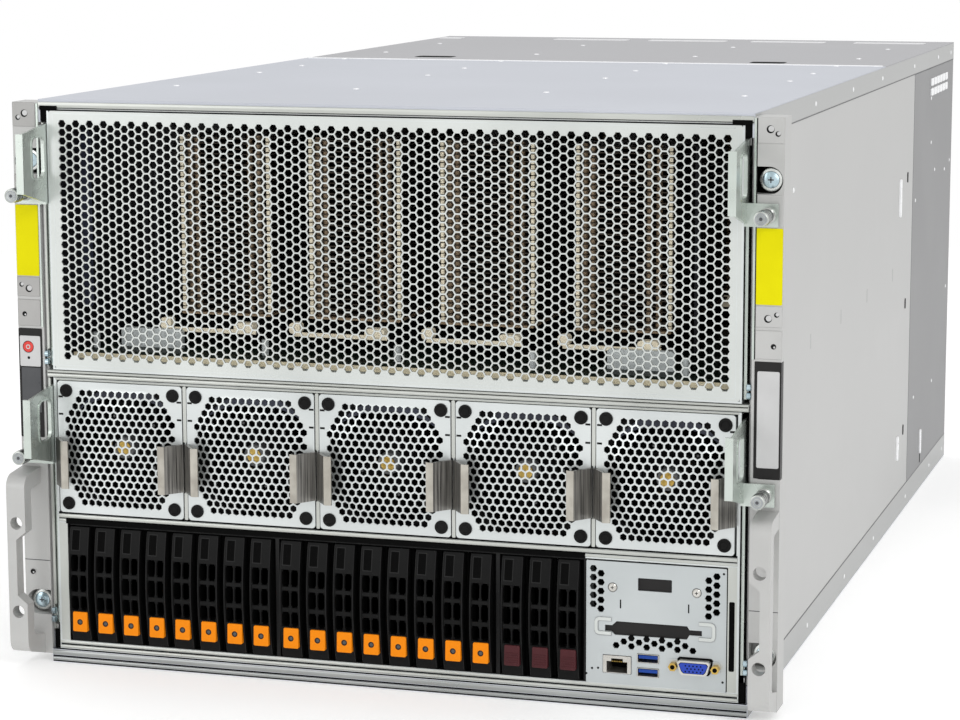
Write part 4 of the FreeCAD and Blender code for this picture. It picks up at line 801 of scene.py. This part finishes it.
def fan_face(number):
    """Guard, plugs, clips, shroud with its painted sheen, and struts of one fan."""
    x0, z0, half, wall = (number - 3) * FAN_PITCH, FAN_MIDDLE, FAN_SIZE / 2, 1.2
    left, right, low, high = x0 - half, x0 + half, z0 - half, z0 + half
    build = Build()
    build.comb(rounded(left, low, right, high, 2.0), guard_centres(x0, z0), 5.0, 3.95, -1.2, -0.2, 30,
               octagon_rise(x0, z0, 38.0, 3.2))
    for x in ((left, left + wall), (right - wall, right)):
        build.box(x, (-0.2, 76.0), (low, high))
    for z in ((low, low + wall), (high - wall, high)):
        build.box((left, right), (-0.2, 76.0), z)
    square = rounded(left + wall, low + wall, right - wall, high - wall, 2.0)
    build.plate(square, [circle(x0, z0, 39.0, 48)], 6.0, 8.0, 2)
    shroud_glint(build, x0, z0)
    build.plate(circle(x0, z0, 40.2, 48), [circle(x0, z0, 39.0, 48)], 8.0, 76.0, 2)
    build.lathe(x0, z0, [(17.0, 45.0), (17.0, 75.0)], 32, 2)
    for wide, tall in ((39.0, 4.0), (4.0, 39.0)):
        build.box(around(x0, wide), (68.0, 73.0), around(z0, tall), 2)
    for side in SIDES:
        for up in (-1, 1):
            build.lathe(x0 + side * 35.75, z0 + up * 35.75,
                        [(4.1, -1.1), (4.1, -1.9), (3.7, -2.3), (2.8, -2.4), (2.2, -1.9)], 28, 3)
        spring_clip(build, x0, side)
        x = x0 + side * 39.8
        for z in (160.0, 171.0):
            build.box((x - 1.4, x + 1.6), (-1.27, -0.9), around(z, 0.6), 2)
    piece(f"fan_face_{number}", f"fan_{number}", build, [TRAY, SPRING, BLACK, RUBBER, SPRING_LIP_LIT, BLUE_SHEEN],
          replaces=(f"fan_module_{number}",))


def rotor_cap(number):
    """Dark hub plate, stem and gilt tip on the front of a rotor, with small marks round them."""
    x0, z0 = (number - 3) * FAN_PITCH, FAN_MIDDLE
    dress(BLACK, 0.0, f"fan_rotor_{number}")
    build = Build()
    build.lathe(x0, z0, [(16.5, 14.2), (16.5, 13.6), (15.5, 13.2), (12.5, 13.2)], 40, 0)
    build.lathe(x0, z0, [(7.2, 13.4), (6.8, 5.6), (6.2, 5.0), (4.8, 5.0)], 32, 1)
    build.lathe(x0, z0, [(4.6, 5.3), (4.4, 4.2), (1.6, 4.0)], 24, 2)
    for x, z in circle(x0, z0, 21.0, 9):
        build.lathe(x, z, [(1.0, 14.4), (0.7, 13.9)], 10, 1)
    piece(f"rotor_cap_{number}", f"rotor_{number}", build, [DARK, SEAM, GOLD])


# Lower tray: drives


def bow(z):
    """Front of a carrier at a height: a shallow arc, furthest forward in the middle."""
    middle = (DRIVE_LOW + DRIVE_HIGH) / 2
    return -5.0 + (z - middle) ** 2 / 300


def bowed_bar(build, x, z, depth, tint, proud=0.0, steps=10):
    """A bar that follows the bowed front between two heights."""
    heights = [z[0] + (z[1] - z[0]) * step / steps for step in range(steps + 1)]
    loop = [(bow(height) - proud, height) for height in heights]
    loop += [(bow(height) + depth, height) for height in reversed(heights)]
    build.prism(loop, x[0], x[1], tint, "x")


def release_tab(build, ridged):
    """Coloured tab low on a carrier's head: ridged, or with a round mark."""
    low, high = 22.0, 34.6
    front = bow((low + high) / 2) - 2.0
    build.prism([(-4.3, low + 0.6), (-3.7, low), (4.9, low), (5.4, low + 0.6), (5.5, high - 0.6), (5.0, high),
                 (-3.6, high), (-4.1, high - 0.6)], front, front + 6, 3)
    if ridged:
        for index in range(5):
            z = low + 1.4 + 1.5 * index
            build.box((-3.4, 4.6), (front - 0.3, front + 0.2), (z, z + 0.7), 3)
    else:
        build.lathe(0.6, 28.2, [(1.9, front - 0.1), (1.9, front + 0.2)], 20, 5)
        build.lathe(0.8, 28.3, [(1.2, front - 0.16), (0.9, front - 0.2)], 16, 2)


def carrier_mesh(name, tab, ridged):
    """One carrier round x = 0: head with a recess, ribs round its openings, release tab and the drive; a dark
    backing behind the openings is painted shade, and thin lighter strips on the side edges are painted
    highlights.
    """
    build = Build()
    face, half, bar = 6.5, 8.15, 1.1
    rows = ((35.3, 44.6), (47.3, 58.0), (60.4, 71.0))
    foot, top = rows[0][0], rows[2][1]
    for heights in ((DRIVE_LOW, foot), (top, DRIVE_HIGH)):
        bowed_bar(build, (-face, face), heights, 12.0, 0, steps=5)
    for left in (-face, face - bar):
        bowed_bar(build, (left, left + bar), (foot, top), 12.0, 0)
    bowed_bar(build, (-0.4, 0.6), (foot, top), 3.0, 0, -0.5)
    for below, above in zip(rows, rows[1:]):
        bowed_bar(build, (-face + bar, face - bar), (below[1], above[0]), 3.0, 0, -0.5, steps=2)
    for low, high in rows:
        for corner in (low, high - 1.3):
            for left in (-face + bar, -1.0, 0.6, face - bar - 0.8):
                bowed_bar(build, (left, left + 0.6), (corner, corner + 1.3), 2.0, 0, -0.6, steps=1)
    # Dark backing behind the openings: painted shade.
    build.box((-face + 1.0, face - 1.0), (5.0, 6.0), (30.0, 73.0), 1)
    # Thin strips on the side edges, a little lighter than the carrier: painted highlights.
    for left in (-face, face - 0.45):
        bowed_bar(build, (left, left + 0.4), (DRIVE_LOW + 1, DRIVE_HIGH - 1), 1.0, 5, 0.2)
    bowed_bar(build, (-face + 1.3, 0.8), (73.4, 86.9), 0.8, 5, 0.06, steps=4)
    bowed_bar(build, (-face + 1.8, 0.3), (74.0, 86.3), 0.8, 1, 0.12, steps=4)
    release_tab(build, ridged)
    # Dark block behind the whole face: painted shade.
    build.box((-half, half), (5.0, 8.0), (DRIVE_LOW, DRIVE_HIGH), 1)
    build.box((-half + 0.6, half - 0.6), (8.0, 112.0), (DRIVE_LOW + 1.8, DRIVE_HIGH - 1.8), 4)
    return mesh_of(name, build, [BLACK, DARK, SMOKE, tab, SUPPLY, CAGE])


def drives():
    orange = carrier_mesh("carrier_orange", ORANGE, False)
    maroon = carrier_mesh("carrier_maroon", MAROON, True)
    for number in DRIVES:
        node = f"drive_carrier_{number:02d}"
        low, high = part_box(node)
        piece(f"carrier_{number:02d}", f"drive_{number:02d}", orange if number <= ORANGE_TABS else maroon, [],
              (node,), 0.25, 50, (low.x + high.x) / 2)


# Lower tray: ports


def panel_holes():
    """Every opening of the port panel: ports, window, long slot and small hexagons."""
    holes = [rounded(135.9, 21.0, 153.6, 32.2, 0.3, 1), rounded(156.9, 20.2, 170.4, 25.9, 0.3, 1),
             rounded(156.9, 28.7, 170.4, 34.4, 0.3, 1), rounded(157.2, 72.5, 177.8, 80.2, 0.5, 2)]
    holes.append([(137.2, 46.6), (141.0, 46.6), (143.4, 44.6), (187.0, 44.9), (188.6, 47.6), (196.1, 47.6),
                  (196.1, 50.8), (188.6, 50.8), (187.2, 53.0), (144.4, 53.0), (141.6, 50.4), (137.2, 50.4)])
    for columns, first in (((130.0, 134.65), 0), ((199.9, 204.7), 1)):
        for index, x in enumerate(columns):
            for row in range(5):
                holes.append(circle(x, 59.9 + 5.4 * row + 2.7 * ((index + first + 1) % 2), 2.3, 6))
    for index in range(11):
        holes.append(circle(144.1 + 4.66 * index, 40.9 if index % 2 else 38.3, 2.2, 6))
    return holes


def boss(build, left, right, low, high, way, wide, front, tint):
    """A pressed rim round one end of the long slot, open towards the slot."""
    turn = 2.6
    loop = [(right, high), (left + turn, high), (left + 0.8, high - 0.8), (left, high - turn)]
    loop += [(left, low + turn), (left + 0.8, low + 0.8), (left + turn, low), (right, low)]
    loop += [(right, low + wide), (left + turn, low + wide), (left + wide, low + turn)]
    loop += [(left + wide, high - turn), (left + turn, high - wide), (right, high - wide)]
    if way < 0:
        loop = [(left + right - u, v) for u, v in reversed(loop)]
    build.prism(loop, front, 0.3, tint)


def port_panel():
    build = Build()
    outline = rounded(125.7, 14.5, 210.7, 89.1, 0.8)
    build.plate(outline, panel_holes(), 0.0, 1.2, 0)
    for x in ((125.7, 126.9), (209.5, 210.7)):
        build.box(x, (1.2, 14.0), (14.5, 89.1), 0)
    for x in (141.8, 192.8):
        build.lathe(x, 73.5, [(2.9, -0.04), (2.9, 0.3)], 24, 2)
        build.lathe(x, 73.5, [(2.6, 0.2), (2.6, -0.4), (2.0, -0.9), (0.7, -1.0)], 20, 1)
        for wide, high in ((1.0, 0.2), (0.2, 1.0)):
            build.box(around(x, wide), (-1.05, -0.7), around(73.5, high), 2)
    for x in (146.7, 188.0):
        build.box(around(x, 0.4), (-0.05, 0.4), (61.0, 66.3), 2)
    for x, z in ((129.4, 23.2), (133.1, 23.6), (125.9, 19.8), (208.8, 20.6), (208.9, 86.0)):
        build.lathe(x, z, [(0.7, -0.1), (0.7, 0.4)], 14, 2)
    for index in range(4):
        build.prism(circle(153.4 + 9.32 * index, 43.3, 2.1, 6), -0.06, 0.4, 2)
    # Each pressed rim stands on a wider darker loop: painted shade round the rim.
    for left, right, low, high, way in ((130.7, 141.4, 43.8, 55.2, 1), (194.2, 204.6, 44.2, 56.2, -1)):
        boss(build, left, right, low, high, way, 2.6, -0.35, 4)
        boss(build, left + 0.3, right - 0.3, low + 0.7, high - 0.2, way, 1.9, -0.9, 3)
    # Dark blocks behind the long slot and the window and a dark sheet behind the whole panel: painted shade.
    build.box((136.5, 197.0), (1.3, 5.0), (43.8, 54.0), 5)
    build.box((156.0, 179.0), (1.3, 4.0), (71.0, 82.0), 5)
    build.box((127.5, 209.0), (13.0, 13.6), (15.5, 88.5), 2)
    piece("port_panel", "system_tray", build, [PORT_SHEET, PORT, DARK, DOOR, PALE, PANEL],
          replaces=("io_panel",))


def shield(grow):
    """Outline of the video socket: wider at the top, with rounded corners, grown by a margin."""
    left, right, low, high = 182.4 - grow, 202.2 + grow, 24.8 - grow, 33.4 + grow
    return [(left + 1.6, low + 1.2), (left + 2.8, low), (right - 2.8, low), (right - 1.6, low + 1.2),
            (right, high - 1.2), (right - 1.2, high), (left + 1.2, high), (left, high - 1.2)]


def ports():
    """Sockets with shells, tongues and contacts behind the panel."""
    build = Build()
    shell = rounded(136.2, 21.3, 153.3, 31.9, 0.4, 1)
    inside = [(138.4, 21.6), (151.1, 21.6), (151.1, 28.4), (148.4, 28.4), (148.4, 30.2), (141.2, 30.2),
              (141.2, 28.4), (138.4, 28.4)]
    build.plate(shell, [inside], -0.4, 15.0, 0)
    build.box((136.8, 152.8), (15.0, 18.0), (21.5, 31.6), 2)
    for index in range(8):
        x = 140.8 + 1.15 * index
        build.box(around(x, 0.25), (4.0, 12.0), (27.0, 27.5), 3)
    for low in (20.2, 28.7):
        build.plate(rounded(157.1, low + 0.2, 170.2, low + 5.5, 0.4, 1),
                    [rounded(157.5, low + 0.5, 169.8, low + 5.2, 0.3, 1)], -0.4, 14.0, 0)
        build.box((157.9, 169.4), (0.2, 12.0), (low + 2.6, low + 4.6), 1)
        build.box((157.4, 169.9), (13.0, 15.8), (low + 0.4, low + 5.3), 2)
    build.prism(shield(0.9), -0.6, 0.4, 2)
    build.prism(shield(0.0), -5.4, 0.6, 0)
    build.prism(shield(-1.0), -5.5, -5.2, 2)
    build.prism(shield(-1.3), -5.6, -5.2, 6)
    build.slab((175.6, 23.8, 207.6, 33.0, 2.5, 3), -0.5, 0.4, 5)
    for row in range(3):
        for index in range(5):
            x = 187.6 + 2.3 * index + (1.1 if row == 1 else 0)
            build.lathe(x, 30.6 - 1.75 * row, [(0.5, -5.68), (0.5, -5.4)], 10, 2)
    for x in (179.4, 204.9):
        build.prism(circle(x, 28.7, 2.7, 6), -4.4, 0.4, 3)
        build.lathe(x, 28.7, [(1.4, -4.5), (1.4, -4.2)], 14, 2)
    build.box((127.5, 209.0), (18.5, 110.0), (15.0, 16.6), 4)
    piece("port_sockets", "system_tray", build, [PORT, BLUE, DARK, GOLD, BOARD, PORT_SHEET, VIDEO_BLUE],
          replaces=("io_ports",))


# Lower tray: mainboard


def memory_stick(build, x, front, back, foot):
    """One module in its socket: board, chips on both faces and latches at the ends."""
    build.box(around(x, 2.6), (front - 4, back + 4), (foot, foot + 6.5), 1)
    build.box(around(x, 0.6), (front, back), (foot + 4, foot + 33), 0)
    chips = 9
    pitch = (back - front) / chips
    for chip in range(chips):
        build.box(around(x, 1.3), around(front + pitch * (chip + 0.5), 4.4), (foot + 13, foot + 28), 1)
    for y in (front - 3, back + 3):
        build.box(around(x, 1.8), around(y, 2), (foot + 6, foot + 17), 2)


def board_parts():
    """Cooler fins, memory, regulators and connectors on the mainboard."""
    build = Build()
    foot, front, back = BOARD_TOP, 308.0, 388.0
    for side in SIDES:
        centre = side * 105.0
        for fin in range(31):
            build.box(around(centre + 2.7 * (fin - 15), 0.35), (front - 0.6, back + 0.6), (36.0, 79.8), 3)
        build.box(around(centre, 41), (front - 1, back + 1), (foot, 35.0), 3)
        for slot in range(6):
            for way in (-1, 1):
                memory_stick(build, centre + way * (50.0 + 7.6 * slot), front - 26, back + 26, foot)
        for block in range(4):
            x = centre + 19.0 * (block - 1.5)
            build.slab((x - 8.0, 432, x + 8.0, 456, 1.0), foot, foot + 11, 1, "z")
    for slot in range(9):
        x = 44.0 * (slot - 4)
        build.slab((x - 14.0, 160, x + 14.0, 172, 1.0), foot, foot + 12, 2, "z")
        build.box(around(x, 12.0), (163.0, 169.0), (foot + 12, foot + 12.4), 1)
        build.box(around(x, 13.0), (538.0, 549.0), (foot, foot + 14), 1)
        for pin in range(10):
            build.box(around(x - 10.4 + 2.3 * pin, 0.6), (549.0, 549.4), (foot + 3, foot + 11), 4)
    for x, y, wide in ((0.0, 235.0, 26.0), (-130.0, 225.0, 14.0), (130.0, 500.0, 20.0), (-60.0, 500.0, 16.0)):
        for half, corner, rise, tint in ((wide, 1.5, 2.4, 1), (0.7 * wide, 1.0, 4.0, 3)):
            build.slab((x - half, y - half, x + half, y + half, corner), foot, foot + rise, tint, "z")
    piece("mainboard_parts", "system_tray", build, [BOARD, BLACK, PALE, SUPPLY, GOLD])


# Levers


def thumbscrew(build, x, z):
    """Sprung thumbscrew: flanged collar, ribbed sleeve and a head with a darker face."""
    build.lathe(x, z, [(4.6, -2.75), (4.6, -4.4), (4.1, -4.8), (3.8, -5.0), (3.8, -12.6), (4.4, -12.9),
                       (4.4, -22.0), (4.1, -22.8), (3.6, -23.0)], 32)
    build.lathe(x, z, [(3.5, -22.9), (3.4, -23.1), (1.4, -23.05)], 24, 2)
    build.lathe(x, z, [(2.5, -23.0), (2.4, -23.14), (2.0, -23.14), (1.9, -23.0)])
    build.lathe(x, z, [(1.1, -23.0), (0.9, -23.15)], 16, 1)
    for y in (-5.4, -7.4, -9.4, -11.4, -15.2, -18.6):
        radius = 3.9 if y > -12 else 4.5
        build.lathe(x, z, [(radius, y), (radius, y - 0.9)], 32, 1)


def slot_rim(build, side, foot):
    """Raised rim round the slot of a grip plate."""
    middle, face = foot + 29.5, -218.65 if side < 0 else 220.45
    outer = rounded(-21.8, middle - 13.7, -3.4, middle + 13.7, 5.2, 6)
    inner = rounded(-20.5, middle - 12.4, -4.7, middle + 12.4, 4.4, 6)
    count = len(outer)
    points = [(face + rise, u, v) for rise in (0.0, 0.45) for loop in (outer, inner) for u, v in loop]
    faces = []
    for near, far in ((2, 3), (0, 2), (1, 3)):
        faces += band(near * count, far * count, count)
    build.add(points, faces)


def lever_details():
    for side, tag in zip(SIDES, ("left", "right")):
        for row, foot in LEVER_FEET:
            name = f"{row}_lever_{tag}"
            dress(LEVER, 0.6, name)
            screw = Build()
            thumbscrew(screw, side * SCREW_ACROSS, foot + 6.75)
            piece(f"{name}_thumbscrew", name, screw, [THUMB, SMOKE, THUMB_FACE])
            rim = Build()
            slot_rim(rim, side, foot)
            piece(f"{name}_slot_rim", name, rim, [LEVER])


# Back


def power_supplies():
    for number in range(1, 5):
        node = f"power_supply_{number}"
        dress(SUPPLY, 0.4, node)
        low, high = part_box(node)
        left = low.x / MM
        build = Build()
        for column in range(9):
            for row in range(3):
                x = left + 36.5 + 4.6 * (column % 5)
                z = 9.0 + 5.3 * row + 2.65 * (column % 2) + (16 if column >= 5 else 0)
                build.prism(circle(x, z, 2.1, 6), CASE_BACK - 0.1, CASE_BACK + 0.15, 0)
        build.lathe(left + 69.0, 9.0, [(1.3, CASE_BACK - 0.1), (1.3, CASE_BACK + 0.4)], 16, 1)
        for offset in (-5.0, 0.0, 5.0):
            build.box(around(left + 20 + offset, 1.0), (817, 828), (21.5, 23.5), 2)
        piece(f"supply_face_{number}", f"supply_{number}", build, [DARK, PALE, ZINC])


def back_details():
    """Blank slot covers above the power supplies."""
    build = Build()
    for slot in range(8):
        x = (slot - 3.5) * 20.3
        build.slab((x - 8.0, 62.0, x + 8.0, 160.0, 1.0), CASE_BACK - 0.1, CASE_BACK + 0.6, 0)
        for index in range(12):
            build.prism(circle(x, 72 + 6.6 * index, 2.2, 6), CASE_BACK + 0.5, CASE_BACK + 0.7, 1)
    piece("slot_covers", "chassis", build, [TRAY, DARK])


# Camera, light and floor


def camera():
    """The photo's camera: turned sideways, tilted down and rolled a little."""
    data = bpy.data.cameras.new("camera")
    photo_width = 960
    data.sensor_width = 36.0
    data.lens = 106.128
    data.shift_x = 1.46 / photo_width
    data.shift_y = -0.71 / photo_width
    data.clip_end = 50
    thing = place("camera", data)
    turn = Matrix.Identity(4)
    for angle, axis in ((17.117, "Z"), (90 - 9.246, "X"), (-0.1467, "Z")):
        turn @= Matrix.Rotation(radians(angle), 4, axis)
    thing.matrix_world = Matrix.Translation(at(546.93, -1584.28, 476.44)) @ turn
    bpy.context.scene.camera = thing


def lamp(name, spot, aim, size, power):
    data = bpy.data.lights.new(name, "AREA")
    data.shape = "DISK"
    data.size = size
    data.energy = power
    thing = place(name, data)
    thing.location = spot
    thing.rotation_mode = "QUATERNION"
    thing.rotation_quaternion = (Vector(aim) - Vector(spot)).to_track_quat("-Z", "Y")


def seen_white(tree, strength):
    """White for rays that show the background, a plain level for rays that light the object."""
    path = tree.nodes.new("ShaderNodeLightPath")
    seen = path.outputs["Is Camera Ray"]
    for kind in ("Is Glossy Ray", "Is Transmission Ray"):
        either = tree.nodes.new("ShaderNodeMath")
        either.operation = "MAXIMUM"
        tree.links.new(seen, either.inputs[0])
        tree.links.new(path.outputs[kind], either.inputs[1])
        seen = either.outputs[0]
    return through(tree, "ShaderNodeMapRange", seen, "Value", "Result", To_Min=strength, To_Max=1.0)


def studio():
    world = bpy.data.worlds.new("studio")
    world.use_nodes = True
    bpy.context.scene.world = world
    tree = world.node_tree
    background = fill(tree.nodes["Background"], Color=(1, 1, 1, 1))
    tree.links.new(seen_white(tree, 0.72), background.inputs["Strength"])
    lamp("key", (2.2, -2.6, 2.4), (0.1, -0.2, 0.15), 1.2, 25)
    lamp("front", (1.3, -4.0, 1.0), (0, -0.4, 0.18), 1.6, 13)
    lamp("fill", (-1.8, -3.0, 0.8), (-0.1, -0.4, 0.12), 1.6, 12)
    lamp("top", (0.0, 0.2, 2.8), (0, 0.1, 0.2), 2.4, 12)
    bpy.context.scene.view_settings.view_transform = "Standard"


def paper_floor():
    material, tree, shader = new_material("floor_paper")
    tree.links.new(ramp(tree, grain(tree, 6), (0.95,) * 3, (0.97,) * 3), shader.inputs["Base Color"])
    fill(shader, Roughness=0.9, Specular_IOR_Level=0.1, Emission_Color=(1, 1, 1, 1), Emission_Strength=0.25)
    mesh = bpy.data.meshes.new("floor")
    reach, corners = 1.9, 64
    rim = [(u, v, 0) for u, v in circle(0, 0, reach, corners)]
    mesh.from_pydata(rim, [], [list(range(corners))])
    mesh.materials.append(material)
    floor = place("floor", mesh)
    floor.location.z = -0.0005


camera()
studio()
paper_floor()
case_nodes()
cover_hem()
shelf_hem()
floor_hem()
tray_hem()
case_rivets()
cover_edge()
case_slots()
side_sheets()
ear_blocks()
ear_marks()
screw_recesses()
blank_labels()
control_plate()
badge_plate()
button_cap()
rack_screws()
door_mesh()
door_lines()
cooler_towers()
board_front()
shade_and_sheen_sheets()
for fan in FANS:
    fan_face(fan)
    rotor_cap(fan)
drives()
port_panel()
ports()
board_parts()
lever_details()
power_supplies()
back_details()
